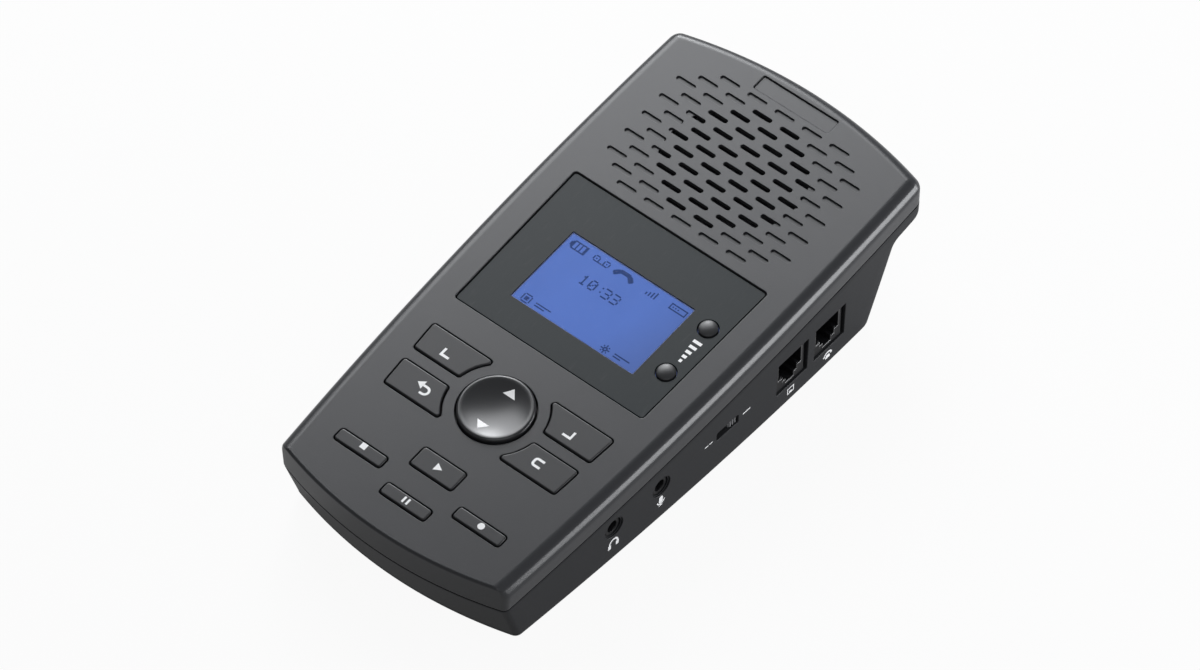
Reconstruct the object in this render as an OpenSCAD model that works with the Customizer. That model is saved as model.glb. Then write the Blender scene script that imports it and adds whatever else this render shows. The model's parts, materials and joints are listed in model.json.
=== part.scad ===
// Telephone call recorder: a wedge-shaped desk unit with a speaker grille, a display and a key pad.
// Millimetres. X to the right, Y to the back, Z up, the feet stand on Z = 0.
// Most pieces are placed in the deck frame: u across, v along the sloping deck, w square to it.

/* [Case outline] */
// Widest width of the case
case_w = 90.5; // [88:0.5:94]
// Front edge of the deck, measured along the deck from its middle
front_v = 94; // [93:0.5:98]
// Back edge of the deck, measured along the deck from its middle
back_v = 93.8; // [93:0.2:97]
// Place along the deck where the case is widest
widest_v = 35; // [25:1:45]
// Radius of the long side curves in plan
side_r = 1550; // [1150:10:2000]
// Radius of the bowed front in plan
front_r = 134; // [120:1:180]
// Radius of the bowed back in plan
back_r = 153; // [130:1:220]
// Corner radius at the front
front_corner_r = 2.5; // [2:0.5:6]
// Corner radius at the back
back_corner_r = 4; // [3:0.5:6]
// Height of the middle of the deck above the table
deck_h = 36; // [35.5:0.1:38]
// Slope of the deck
tilt = 5.5; // [5:0.1:6]

/* [Shells] */
// Wall thickness of both shells
wall = 2.2; // [1.8:0.1:2.4]
// Thickness of the deck
deck_t = 2.2; // [2:0.1:2.3]
// Rounding where the deck meets the sides and the back
edge_r = 4; // [3:0.5:5]
// Rounding of the crease where the deck meets the front
crease_r = 0.8; // [0.5:0.1:1.2]
// Depth of the seam between the shells below the deck
seam_d = 9.4; // [9:0.1:10]
// Open shadow line at the seam
seam_gap = 0.3; // [0.2:0.1:0.5]
// How far the side walls draw in at the seam
seam_in = 0.35; // [0.2:0.05:0.5]
// How far the front leans out between the crease and the seam
front_lean = 0.5; // [0:0.1:1]
// Height of the band of the lower shell that hangs over at the back
lip_h = 5.4; // [5:0.1:6]
// How far the side walls draw in at the base
base_side_in = 1.05; // [0.8:0.05:1.5]
// How far the front wall draws in at the base
base_front_in = 5.9; // [4:0.1:7]
// How far the rear wall stands forward of the deck's back edge at the base
base_back_in = 20.9; // [20:0.1:22]
// The same under the lip
lip_back_in = 11.8; // [11:0.1:12.5]
// Rounding of the bottom edge
base_edge_r = 1.5; // [1:0.1:2]
// Thickness of the floor
floor_t = 2.2; // [1.8:0.1:2.6]

/* [Display] */
// Middle of the display along the deck
lcd_v = 1.5; // [0.5:0.1:2.5]
// Visible width of the display
lcd_w = 43.6; // [40:0.1:44]
// Visible height of the display
lcd_h = 27.2; // [25:0.1:28]
// Window edge nearest the keys
window_v0 = -22.2; // [-22.8:0.1:-21]
// Window edge nearest the grille
window_v1 = 31.3; // [30.5:0.1:31.8]
// Distance from the volume keys to the side of the window at its front edge
window_side = 4.9; // [4.5:0.1:5.3]
// How much further out the side of the window lies at its back edge
window_flare = 0.9; // [0.6:0.1:1.2]
// Thickness of the window
window_t = 1.5; // [1.2:0.1:1.6]
// How far the window lies below the deck
window_sink = 0.4; // [0.3:0.1:0.6]
// Gap round the window
window_gap = 0.35; // [0.2:0.05:0.4]
// Width of the glass beyond the visible display at each side
glass_side = 2.2; // [1.8:0.1:2.4]
// Width of the glass beyond the visible display at the front and the back
glass_end = 2.9; // [2.4:0.1:3.2]
// Thickness of the display glass
glass_t = 2.2; // [1.8:0.1:2.4]

/* [Keys] */
// Gap round each key in its opening
key_gap = 0.35; // [0.2:0.05:0.4]
// Height of the key tops above the deck
key_up = 0.4; // [0.3:0.1:1.2]
// Travel of the keys
key_travel = 0.9; // [0.6:0.1:1]
// Bevel along the top edges of the keys
key_bevel = 0.4; // [0.2:0.1:0.6]
// Corner radius of the keys
key_corner_r = 1.2; // [0.8:0.1:1.6]
// Width of the retaining flange round each key
flange = 0.8; // [0.6:0.1:1]
// Middle of the round rocker along the deck
nav_v = -44; // [-44.5:0.1:-43.5]
// Radius of the rocker's opening
nav_hole_r = 11.4; // [11:0.1:11.8]
// Gap round the rocker
nav_gap = 0.45; // [0.4:0.05:0.6]
// Swing of the rocker each way
nav_swing = 3; // [2:0.5:3]
// Radius of the arc that the four large keys leave round the rocker
ring_r = 14.9; // [14.5:0.1:15.3]
// Half width over the large keys at their back edge
big_half_w = 32.4; // [31.8:0.1:32.8]
// How much less it is at their front edge
big_narrow = 1.8; // [1.4:0.1:2.2]
// Height of a large key
big_h = 10.2; // [9.8:0.1:10.4]
// Space between the two rows of large keys
big_space = 3.6; // [3.4:0.1:4]
// Length of the stop and record keys
side_key_w = 17; // [16:0.1:17.4]
// Width of the thin keys
thin_key_h = 4.6; // [4.2:0.1:4.8]
// Distance of the stop and record keys from the middle
side_key_u = 21.1; // [20.8:0.1:21.4]
// Place of the stop and record keys along the deck
side_key_v = -76.1; // [-76.4:0.1:-75.8]
// Length of the play key
play_w = 15.5; // [15:0.1:16]
// Width of the play key
play_h = 7.5; // [7:0.1:8]
// Place of the play key along the deck
play_v = -68.5; // [-68.8:0.1:-68]
// Length of the pause key
pause_w = 16.4; // [16:0.1:17]
// Place of the pause key along the deck
pause_v = -82; // [-82.3:0.1:-81.7]
// Distance of the volume keys from the side of the display glass
volume_side = 4.7; // [4.4:0.1:4.9]
// Place of the lower volume key along the deck
volume_v0 = -6; // [-6.5:0.1:-5.5]
// Place of the upper volume key along the deck
volume_v1 = 12.2; // [11.8:0.1:12.6]
// Radius of the holes for the volume keys
volume_hole_r = 3.1; // [3:0.05:3.2]

/* [Speaker grille] */
// Middle of the grille along the deck
grille_v = 58.3; // [58:0.1:58.6]
// Step between slots in a row
slot_step = 9.76; // [9.6:0.02:9.9]
// Step between rows
row_step = 3.8; // [3.7:0.05:3.9]
// Length of a slot
slot_l = 6.6; // [6:0.1:6.8]
// Width of a slot
slot_w = 1.4; // [1.2:0.1:1.6]
// Depth of the slots that don't go through
blind_d = 0.6; // [0.5:0.05:0.8]
// Depth of the slots in front of the speaker, where they go through
slot_d = 1.3; // [1.3:0.05:1.5]
// Rows on each side of the middle row
rows_each_side = 6; // [5:1:6]
// Radius of the thin part of the deck in front of the speaker
sound_r = 22; // [21:0.5:22.5]
// Width of the speaker's rim
speaker_rim = 3; // [2.6:0.1:3.2]
// Depth of the speaker
speaker_d = 17.5; // [16:0.5:18.5]
// Radius of the speaker's magnet
magnet_r = 14; // [12:0.5:15]

/* [Indicator] */
// Distance from the speaker's rim to the middle of the indicator
lamp_gap = 2.9; // [2.8:0.1:3]
// Length of the indicator lens
lamp_w = 26.8; // [25:0.1:28]
// Width of the indicator lens
lamp_h = 5.2; // [4.8:0.1:5.3]

/* [Boards] */
// Depth of the top of the key board below the deck
key_board_d = 7.5; // [7.3:0.1:7.8]
// Height of the side sockets' axes above the base
socket_h = 14.5; // [14:0.1:15]
// Height of those axes above the main board
axis_up = 6.3; // [6.2:0.1:6.5]
// Thickness of the boards
board_t = 1.6; // [1.2:0.1:1.6]

/* [Sockets] */
// Place of the nearer phone socket behind the middle of the deck
phone_y0 = 30; // [29.6:0.1:30.4]
// Place of the farther phone socket
phone_y1 = 46.5; // [46.1:0.1:46.9]
// Width of the phone socket's mouth
phone_w = 9.9; // [9.7:0.05:10]
// Height of the phone socket's mouth above its latch notch
phone_h = 6.8; // [6.6:0.1:7]
// Depth of the phone socket's mouth
phone_d = 12; // [11:0.5:12.5]
// Place of the earphone socket
ear_y = -44.5; // [-45:0.1:-44]
// Place of the microphone socket
mic_y = -25.3; // [-25.8:0.1:-24.8]
// Bore radius of the earphone and microphone sockets
plug_r = 1.8; // [1.75:0.05:1.9]
// Place of the slide switch
switch_y = 2.3; // [1.8:0.1:2.8]
// Travel of the slide switch
switch_travel = 5; // [4.5:0.1:5]
// Distance of the power socket from the right side of the case
power_side = 25.25; // [24.25:0.5:26.25]
// Bore radius of the power socket
power_r = 2.75; // [2.5:0.05:2.9]
// Radius of the power socket's pin
power_pin_r = 1; // [0.8:0.05:1.1]
// Place of the data socket across the case
data_u = 0; // [-3:0.5:4]
// Place of the memory card
card_y = 26; // [26:0.5:30]
// Width of the memory card
card_w = 24; // [23:0.5:24]
// Length of the memory card
card_l = 32; // [30:0.5:32]
// Thickness of the memory card
card_t = 2.1; // [1.8:0.1:2.1]

/* [Batteries] */
// Diameter of a cell
cell_d = 14.2; // [13.8:0.1:14.4]
// Length of a cell
cell_l = 50; // [49:0.1:50.4]
// Number of cells side by side
cells = 4; // [3:1:4]
// Front end of the battery bay
bay_y0 = -57; // [-57.5:0.5:-56.5]
// Distance from the battery bay to the left side of the case
bay_side = 9.25; // [8.75:0.25:9.75]
// Thickness of the battery door
door_t = 2; // [1.6:0.1:2.2]
// Gap round the battery door
door_gap = 0.4; // [0.3:0.05:0.5]

/* [Feet and screws] */
// Radius of a rubber foot
foot_r = 5; // [4:0.5:5.5]
// Height of a foot below the shell
foot_up = 0.8; // [0.6:0.1:1.2]
// Depth of the recess that holds a foot
foot_sink = 0.8; // [0.6:0.1:1]
// Radius of the case screws' shanks
screw_r = 1.4; // [1.2:0.1:1.5]
// Radius of the case screws' heads
head_r = 2.6; // [2.4:0.1:2.8]
// Depth below the deck where the case screws' heads seat
head_d = 17; // [16:0.5:18]

/* [Hidden] */
$fn = 32;

// Small offsets that keep cuts and joined solids from sharing a face
eps = 0.01;
over = 1;
// Free space between pieces that are fixed to the same case
seat_gap = 0.1;
// Free space under a flange or beside a moving piece
play_gap = 0.3;

shell_z = foot_up;
floor_z = shell_z + floor_t;
half_w = case_w / 2;
glass_w = lcd_w + 2 * glass_side;
glass_h = lcd_h + 2 * glass_end;
volume_u = glass_w / 2 + volume_side;
window_front_u = volume_u + window_side;
window_back_u = window_front_u + window_flare;
speaker_r = sound_r + speaker_rim;
lamp_v = grille_v + speaker_r + lamp_gap;
power_u = half_w - power_side;
low_seam_d = seam_d + seam_gap;
deck_y = (front_v - back_v) / 2 * cos(tilt) - (crease_r + low_seam_d) / 2 * sin(tilt);
axis_z = shell_z + socket_h;
board_z = axis_z - axis_up;
board_under_z = board_z - board_t;
draft = seam_in / (seam_d - edge_r);
bay_wall = 1.6;
bay_x0 = bay_side - half_w;
bay_x1 = bay_x0 + cells * (cell_d + 0.8) + 0.8;
bay_y1 = bay_y0 + cell_l + 3.6;

// A point of the deck frame in the frame of the case
function deck_point(p, w) = [
    p[0],
    deck_y + p[1] * cos(tilt) - w * sin(tilt),
    deck_h + p[1] * sin(tilt) + w * cos(tilt)
];
// Depth below the deck of a height z above the table, at place v
function depth_at(v, z) = (deck_h + v * sin(tilt) - z) / cos(tilt);
// Half width of the case at place v, drawn in by inset
function side_u(v, inset) = half_w - inset - side_r + sqrt(pow(side_r, 2) - pow(v - widest_v, 2));
// Inset of a rounded edge of radius r at depth d
function edge_in(d, r) = r - sqrt(max(0, r * r - pow(max(0, r - d), 2)));
// Meeting point of two circles
function meet(c1, r1, c2, r2, side) =
    let (
        d = norm(c2 - c1),
        a = (r1 * r1 - r2 * r2 + d * d) / (2 * d),
        e = (c2 - c1) / d
    )
    c1 + a * e + side * sqrt(r1 * r1 - a * a) * [-e[1], e[0]];
function heading(p) = atan2(p[1], p[0]);
// Points along an arc, both ends included
function arc(c, r, a0, a1, n) = [
    for (i = [0 : n])
        let (a = a0 + (a1 - a0) * i / n)
        c + r * [cos(a), sin(a)]
];

// Plan outline with bowed sides, front and back: inset at the sides, front and back ends,
// insets of the front and back curves, and the corner radii
SIDE_STEPS = 8;
END_STEPS = 8;
CORNER_STEPS = 5;
function half_outline(si, f, b, fi, bi, rf, rb) =
    let (
        cs = [half_w - side_r, widest_v],
        cf = [0, f + front_r],
        cb = [0, b - back_r],
        rs = side_r - si,
        rfront = front_r - fi,
        rback = back_r - bi,
        pf = meet(cs, rs - rf, cf, rfront - rf, -1),
        pb = meet(cs, rs - rb, cb, rback - rb, 1)
    )
    concat(
        arc(cf, rfront, -90, heading(pf - cf), END_STEPS),
        [for (p = arc(pf, rf, heading(pf - cf), heading(pf - cs), CORNER_STEPS)) p],
        arc(cs, rs, heading(pf - cs), heading(pb - cs), SIDE_STEPS),
        arc(pb, rb, heading(pb - cs), heading(pb - cb), CORNER_STEPS),
        arc(cb, rback, heading(pb - cb), 90, END_STEPS)
    );
// Neighbouring arcs share their end points, so each such point is kept once
function distinct(pts) = [
    for (i = [0 : len(pts) - 1])
        if (i == 0 || norm(pts[i] - pts[i - 1]) > eps) pts[i]
];
function outline(si, f, b, fi, bi, rf, rb) =
    let (
        half = distinct(half_outline(si, f, b, fi, bi, rf, rb)),
        n = len(half)
    )
    concat(half, [for (i = [n - 2 : -1 : 1]) [-half[i][0], half[i][1]]]);

// Outline of the upper shell at depth d, drawn in evenly by inset
function upper_outline(d, inset) =
    let (
        side = edge_in(d, edge_r) + draft * max(0, d - edge_r) + inset,
        front = edge_in(d, crease_r) + inset
    )
    outline(
        side, -front_v - front_lean * d / seam_d, back_v, front, side,
        max(0.4, front_corner_r - side), max(0.4, back_corner_r - side)
    );
// Outline of the lower shell on the base, drawn in by inset all round and by back_in at the back
function base_outline(back_in, inset) = outline(
    base_side_in + inset, -front_v + base_front_in, back_v - back_in, inset, inset,
    max(0.4, front_corner_r - inset), max(0.4, back_corner_r - inset)
);
// The same at the seam
seam_side_in = seam_in + 0.1;
function seam_outline(back_in, inset) = outline(
    seam_side_in + inset, -front_v - front_lean, back_v - back_in, inset, inset,
    max(0.4, front_corner_r - inset), max(0.4, back_corner_r - inset)
);
function deck_ring(pts, d) = [for (p = pts) deck_point(p, -d)];
function flat_ring(pts, z) = [for (p = pts) [p[0], p[1] + deck_y, z]];
// Ring of the lower shell at a share t of the way from its base to the seam
wall_z0 = shell_z + base_edge_r;
function lower_ring(t, back_in, inset) =
    let (
        low = flat_ring(base_outline(back_in, inset), wall_z0),
        high = deck_ring(seam_outline(back_in, inset), low_seam_d)
    )
    [for (i = [0 : len(low) - 1]) (1 - t) * low[i] + t * high[i]];
// Height of the seam above the table at place y
function seam_z(y) = deck_h + y * tan(tilt) - low_seam_d / cos(tilt);
function wall_share(y, z) = (z - wall_z0) / (seam_z(y) - wall_z0);
// Outer face of the side wall of the lower shell at place y and height z
function wall_x(y, z) = side_u(y, base_side_in + (seam_side_in - base_side_in) * wall_share(y, z));
// Share of the height where the lip's underside begins, and where the rear wall starts to curve out
lip_t = 1 - lip_h / (seam_z(back_v) - wall_z0);
bend_t = lip_t - 0.09;
// Outer face of the rear wall at place x and height z
function rear_y(x, z) =
    let (
        t = wall_share(back_v - base_back_in, z),
        b = back_v - base_back_in + (base_back_in - lip_back_in) * t / bend_t
    )
    b * (1 - t + t * cos(tilt)) + t * low_seam_d * sin(tilt) - back_r + sqrt(back_r * back_r - x * x);

// Solid through a stack of rings with equal counts of points, lowest ring first
module loft(rings) {
    n = len(rings[0]);
    m = len(rings);
    polyhedron(
        points = [for (ring = rings) each ring],
        faces = concat(
            [[for (i = [0 : n - 1]) i]],
            [[for (i = [n - 1 : -1 : 0]) (m - 1) * n + i]],
            [
                for (k = [0 : m - 2], i = [0 : n - 1])
                    let (j = (i + 1) % n)
                    each [
                        [k * n + i, (k + 1) * n + i, (k + 1) * n + j],
                        [k * n + i, (k + 1) * n + j, k * n + j]
                    ]
            ]
        )
    );
}

// Places its children in the deck frame
module deck() {
    translate([0, deck_y, deck_h])
        rotate([tilt, 0, 0])
            children();
}
// Upright extrusion in the deck frame between two depths
module slab(d0, d1) {
    translate([0, 0, -d1])
        linear_extrude(height = d1 - d0)
            children();
}
// Round pin or hole in the deck frame between two depths
module peg(u, v, r, d0, d1) {
    translate([u, v, -d1])
        cylinder(r = r, h = d1 - d0);
}
// Block in the deck frame, from corner to corner
module block(u0, u1, v0, v1, d0, d1) {
    translate([u0, v0, -d1])
        cube([u1 - u0, v1 - v0, d1 - d0]);
}
// Places its children upright over the middle of the deck
module base() {
    translate([0, deck_y, 0])
        children();
}
// Block in the upright frame, from corner to corner
module box(x0, x1, y0, y1, z0, z1) {
    translate([x0, y0, z0])
        cube([x1 - x0, y1 - y0, z1 - z0]);
}
module post(x, y, r, z0, z1) {
    translate([x, y, z0])
        cylinder(r = r, h = z1 - z0);
}
module rod_x(x0, x1, y, z, r) {
    translate([x0, y, z])
        rotate([0, 90, 0])
            cylinder(r = r, h = x1 - x0);
}
module rod_y(x, y0, y1, z, r) {
    translate([x, y0, z])
        rotate([-90, 0, 0])
            cylinder(r = r, h = y1 - y0);
}
// Rectangle with round corners, in the plane
module round_rect(w, h, r) {
    for (x = [-1, 1], y = [-1, 1])
        translate([x * (w / 2 - r), y * (h / 2 - r)])
            circle(r = r);
    square([w - 2 * r, h], center = true);
    square([w, h - 2 * r], center = true);
}

// Window and display

module window_shape(grow) {
    offset(r = 1.2, $fn = 24)
        offset(delta = grow - 1.2)
            polygon([
                [-window_front_u, window_v0], [window_front_u, window_v0],
                [window_back_u, window_v1], [-window_back_u, window_v1]
            ]);
}
window_floor_d = window_sink + window_t;
pad_d = window_floor_d + 1.5;
lcd_top_d = window_floor_d + play_gap;
lcd_bottom_d = lcd_top_d + glass_t;
ledge = 3;
frame_wall = 0.9;

module display_window() {
    color([0.24, 0.26, 0.27])
        deck()
            difference() {
                slab(window_sink, window_floor_d) window_shape(-window_gap);
                for (v = [volume_v0, volume_v1])
                    peg(volume_u, v, volume_hole_r, 0, window_floor_d + over);
            }
}
module lcd_glass() {
    color([0.35, 0.49, 0.82])
        deck() {
            block(
                -glass_w / 2, glass_w / 2, lcd_v - glass_h / 2, lcd_v + glass_h / 2,
                lcd_top_d, pad_d + seat_gap + eps
            );
            block(
                -glass_w / 2, glass_w / 2, lcd_v - glass_h / 2, lcd_v + glass_h / 2 + ledge,
                pad_d + seat_gap, lcd_bottom_d
            );
        }
}
frame_v0 = lcd_v - glass_h / 2 - seat_gap;
frame_v1 = lcd_v + glass_h / 2 + ledge + seat_gap;
module lcd_frame() {
    color("dimgray")
        deck()
            difference() {
                block(
                    -glass_w / 2 - seat_gap - frame_wall, glass_w / 2 + seat_gap + frame_wall,
                    frame_v0 - frame_wall, frame_v1 + frame_wall, pad_d + seat_gap, key_board_d
                );
                block(
                    -glass_w / 2 - seat_gap, glass_w / 2 + seat_gap, frame_v0, frame_v1,
                    pad_d, key_board_d + over
                );
            }
}
module lcd_backlight() {
    color("white")
        deck()
            block(
                -glass_w / 2 + 0.5, glass_w / 2 - 0.5, frame_v0 + 0.5, frame_v1 - 0.5,
                lcd_bottom_d + seat_gap, key_board_d
            );
}

// Keys

flange_d = deck_t + play_gap;
flange_t = 1;
stem_r = 2.1;
stem_d = key_board_d - key_travel - 0.2;
big_far_v = nav_v + big_space / 2 + big_h;
function big_u(v) = big_half_w - big_narrow * (big_far_v - v) / (2 * (big_far_v - nav_v));

// Large key in the quarter beside the rocker: side is -1 left or 1 right, row is 1 back or -1 front
module big_key_shape(side, row, grow) {
    v0 = nav_v + row * big_space / 2;
    v1 = nav_v + row * (big_space / 2 + big_h);
    offset(r = key_corner_r + grow, $fn = 24)
        offset(delta = -key_corner_r)
            difference() {
                polygon([
                    [0, v0], [side * big_u(v0), v0], [side * big_u(v1), v1], [0, v1]
                ]);
                translate([0, nav_v])
                    circle(r = ring_r, $fn = 64);
            }
}
module bar_key_shape(u, v, w, h, grow) {
    translate([u, v])
        offset(r = key_corner_r + grow, $fn = 24)
            square([w - 2 * key_corner_r, h - 2 * key_corner_r], center = true);
}
big_mid_u = (ring_r * 0.8 + big_u(nav_v)) / 2;
function big_mid_v(row) = nav_v + row * (big_space + big_h) / 2;
// Cap of one key with its bevel, flange and stem; the children are its plan shape and the flange's
bevel_step = 0.05;
module key_cap(u, v, w, h) {
    slab(-key_up + key_bevel, flange_d + eps) children(0);
    translate([u, v, key_up - key_bevel - 0.1])
        linear_extrude(
            height = key_bevel + 0.1, slices = 1,
            scale = [1 - 2 * key_bevel / w, 1 - 2 * key_bevel / h]
        )
            translate([-u, -v])
                offset(delta = -bevel_step)
                    children(0);
    slab(flange_d, flange_d + flange_t) children(1);
    peg(u, v, stem_r, flange_d + flange_t - eps, stem_d);
}
module big_key(side, row) {
    color([0.25, 0.25, 0.26])
        deck()
            key_cap(side * big_mid_u, big_mid_v(row), big_half_w - ring_r * 0.8, big_h) {
                big_key_shape(side, row, -key_gap);
                big_key_shape(side, row, flange);
            }
}
module bar_key(u, v, w, h) {
    color([0.25, 0.25, 0.26])
        deck()
            key_cap(u, v, w, h) {
                bar_key_shape(u, v, w, h, -key_gap);
                bar_key_shape(u, v, w, h, flange);
            }
}
module key_soft_left() { big_key(-1, 1); }
module key_soft_right() { big_key(1, 1); }
module key_back() { big_key(-1, -1); }
module key_clear() { big_key(1, -1); }
module key_stop() { bar_key(-side_key_u, side_key_v, side_key_w, thin_key_h); }
module key_record() { bar_key(side_key_u, side_key_v, side_key_w, thin_key_h); }
module key_play() { bar_key(0, play_v, play_w, play_h); }
module key_pause() { bar_key(0, pause_v, pause_w, thin_key_h); }

key_places = [
    [-big_mid_u, big_mid_v(1)], [big_mid_u, big_mid_v(1)],
    [-big_mid_u, big_mid_v(-1)], [big_mid_u, big_mid_v(-1)],
    [-side_key_u, side_key_v], [side_key_u, side_key_v], [0, play_v], [0, pause_v]
];

// Rocker: a dished disc that tips about a pin under its middle
nav_r = nav_hole_r - nav_gap;
nav_rim_up = key_up + 0.8;
nav_dish = 1.5;
nav_rim = 0.6;
nav_axis_d = 5;
nav_pin_r = 1;
nav_pin_fit = 0.05;
nav_flange_r = nav_hole_r + flange;
nav_flange_d = deck_t + play_gap + nav_flange_r * sin(nav_swing);
nav_press_v = 7;
nav_tongue_w = 5;
nav_foot_d = key_board_d - 0.7;
nav_post_t = 1.6;
dish_chord = nav_r - 2 * nav_rim;
dish_r = (pow(dish_chord, 2) + pow(nav_dish, 2)) / (2 * nav_dish);

module nav_profile() {
    square([nav_r - nav_rim, nav_rim_up + nav_flange_d]);
    square([nav_r, nav_rim_up + nav_flange_d - nav_rim]);
    translate([nav_r - nav_rim, nav_rim_up + nav_flange_d - nav_rim])
        circle(r = nav_rim);
}
module nav_rocker() {
    color([0.22, 0.22, 0.23])
        deck()
            difference() {
                union() {
                    translate([0, nav_v, -nav_flange_d])
                        rotate_extrude($fn = 96)
                            nav_profile();
                    peg(0, nav_v, nav_flange_r, nav_flange_d, nav_flange_d + flange_t);
                    for (s = [-1, 1])
                        peg(0, nav_v + s * nav_press_v, stem_r, nav_flange_d, nav_foot_d);
                    block(
                        -nav_tongue_w / 2, nav_tongue_w / 2, nav_v - 2, nav_v + 2,
                        nav_flange_d, nav_axis_d + nav_pin_r + 0.2
                    );
                }
                translate([0, nav_v, nav_rim_up - nav_dish + dish_r])
                    sphere(r = dish_r, $fn = 128);
                translate([0, nav_v, -nav_axis_d])
                    rotate([0, 90, 0])
                        cylinder(
                            r = nav_pin_r + nav_pin_fit,
                            h = nav_tongue_w + 2 * (play_gap + nav_post_t), center = true
                        );
            }
}
module nav_pivot() {
    post_u = nav_tongue_w / 2 + play_gap;
    color("silver")
        deck() {
            block(
                -post_u - nav_post_t, post_u + nav_post_t, nav_v - 1.6, nav_v + 1.6,
                nav_axis_d + nav_pin_r + 0.8, key_board_d
            );
            for (s = [-1, 1])
                block(
                    s * (post_u + nav_post_t / 2) - nav_post_t / 2,
                    s * (post_u + nav_post_t / 2) + nav_post_t / 2,
                    nav_v - 1.6, nav_v + 1.6, nav_axis_d - 0.4, key_board_d
                );
            translate([0, nav_v, -nav_axis_d])
                rotate([0, 90, 0])
                    cylinder(r = nav_pin_r, h = 2 * post_u + nav_post_t, center = true);
        }
}

// Volume keys: small domed pins through the window
volume_r = volume_hole_r - key_gap;
volume_up = 0.5;
volume_dome_r = 7;
volume_flange_d = pad_d + play_gap;
volume_travel = 0.5;
volume_stem_d = volume_flange_d + 0.8;
module volume_key(v) {
    color([0.2, 0.2, 0.21])
        deck() {
            intersection() {
                peg(volume_u, v, volume_r, -volume_up, volume_flange_d + eps);
                translate([volume_u, v, volume_up - volume_dome_r])
                    sphere(r = volume_dome_r, $fn = 96);
            }
            peg(volume_u, v, volume_r + 0.5, volume_flange_d, volume_stem_d);
        }
}
module key_volume_up() { volume_key(volume_v1); }
module key_volume_down() { volume_key(volume_v0); }
module volume_switches() {
    color("black")
        deck()
            for (v = [volume_v0, volume_v1]) {
                block(
                    volume_u - 2.6, volume_u + 2.6, v - 2.6, v + 2.6,
                    volume_stem_d + volume_travel + 0.9, key_board_d
                );
                peg(volume_u, v, 1.5, volume_stem_d + volume_travel + 0.2, key_board_d);
            }
}

// Rubber mat with a collar round each key stem
mat_t = 1;
collar_up = 1.4;
module keypad_mat() {
    color([0.55, 0.56, 0.58])
        deck()
            difference() {
                union() {
                    slab(key_board_d - mat_t, key_board_d)
                        polygon([
                            [-mat_front_u, key_board_v0 + mat_edge], [mat_front_u, key_board_v0 + mat_edge],
                            [mat_front_u, neck_v], [key_board_mid_u - mat_edge, neck_v],
                            [key_board_mid_u - mat_edge, mat_back_v], [-key_board_mid_u + mat_edge, mat_back_v],
                            [-key_board_mid_u + mat_edge, neck_v], [-mat_front_u, neck_v]
                        ]);
                    for (p = key_places)
                        translate([p[0], p[1], -key_board_d])
                            cylinder(r1 = stem_r + 2.2, r2 = stem_r + 1.2, h = mat_t + collar_up);
                }
                for (p = key_places)
                    peg(p[0], p[1], stem_r + 0.6, key_board_d - mat_t - collar_up - over, key_board_d + over);
                peg(0, nav_v, nav_press_v + stem_r + 1, key_board_d - mat_t - over, key_board_d + over);
                for (p = key_board_screws)
                    if (p[1] < 0)
                        peg(p[0], p[1], boss_r + play_gap, key_board_d - mat_t - over, key_board_d + over);
            }
}

// Grille

// Slots of even rows lie at even half steps, those of odd rows between them
function slots_in_row(row) =
    abs(row) == rows_each_side ? 2 : 3;
module slot_shape() {
    square([slot_l - slot_w, slot_w], center = true);
    for (s = [-1, 1])
        translate([s * (slot_l - slot_w) / 2, 0])
            circle(d = slot_w);
}
module grille() {
    for (row = [-rows_each_side : rows_each_side])
        let (
            odd = abs(row) % 2,
            reach = slots_in_row(row)
        )
        for (i = [-reach : reach - odd])
            translate([(i + odd / 2) * slot_step, grille_v + row * row_step])
                slot_shape();
}

// Indicator

lamp_sink = 0.5;
lamp_t = 1.4;
lamp_floor_d = lamp_sink + lamp_t;
lamp_board_d = 6;
module lamp_shape(grow) {
    translate([0, lamp_v])
        round_rect(lamp_w + 2 * grow, lamp_h + 2 * grow, 0.6 + max(0, grow));
}
module indicator_lens() {
    color([0.3, 0.3, 0.31])
        deck() {
            slab(lamp_sink, lamp_floor_d) lamp_shape(-0.15);
            block(-4, 4, lamp_v - 1.2, lamp_v + 1.2, lamp_floor_d - eps, lamp_board_d - 1.2);
        }
}
module indicator_board() {
    color([0.1, 0.35, 0.2])
        deck() {
            block(-12, 12, lamp_v - 3.4, lamp_v + 2.4, lamp_board_d, lamp_board_d + 1);
            for (s = [-1, 1])
                block(s * 2 - 0.8, s * 2 + 0.8, lamp_v - 0.8, lamp_v + 0.8, lamp_board_d - 0.9, lamp_board_d);
        }
}

// Speaker

rim_d = deck_t + seat_gap;
basket_neck_d = 11.5;
basket_neck_r = magnet_r - 1;
cone_r = sound_r - 2;
coil_r = 6.5;
module speaker_basket() {
    color("silver")
        deck()
            translate([0, grille_v, -basket_neck_d])
                difference() {
                    rotate_extrude($fn = 96)
                        difference() {
                            polygon([
                                [coil_r + 1, 0], [basket_neck_r, 0],
                                [speaker_r - 2, basket_neck_d - rim_d - 2],
                                [speaker_r, basket_neck_d - rim_d - 2],
                                [speaker_r, basket_neck_d - rim_d], [coil_r + 1, basket_neck_d - rim_d]
                            ]);
                            polygon([
                                [0, 1], [basket_neck_r - 0.5, 1],
                                [speaker_r - 3, basket_neck_d - rim_d - 1.6],
                                [cone_r + 2, basket_neck_d], [0, basket_neck_d]
                            ]);
                        }
                    for (a = [0 : 90 : 270])
                        rotate([0, 0, a + 45])
                            translate([(basket_neck_r + speaker_r) / 2, 0, basket_neck_d / 2 - 1])
                                cube([12, 14, basket_neck_d - rim_d - 5], center = true);
                }
}
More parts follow.
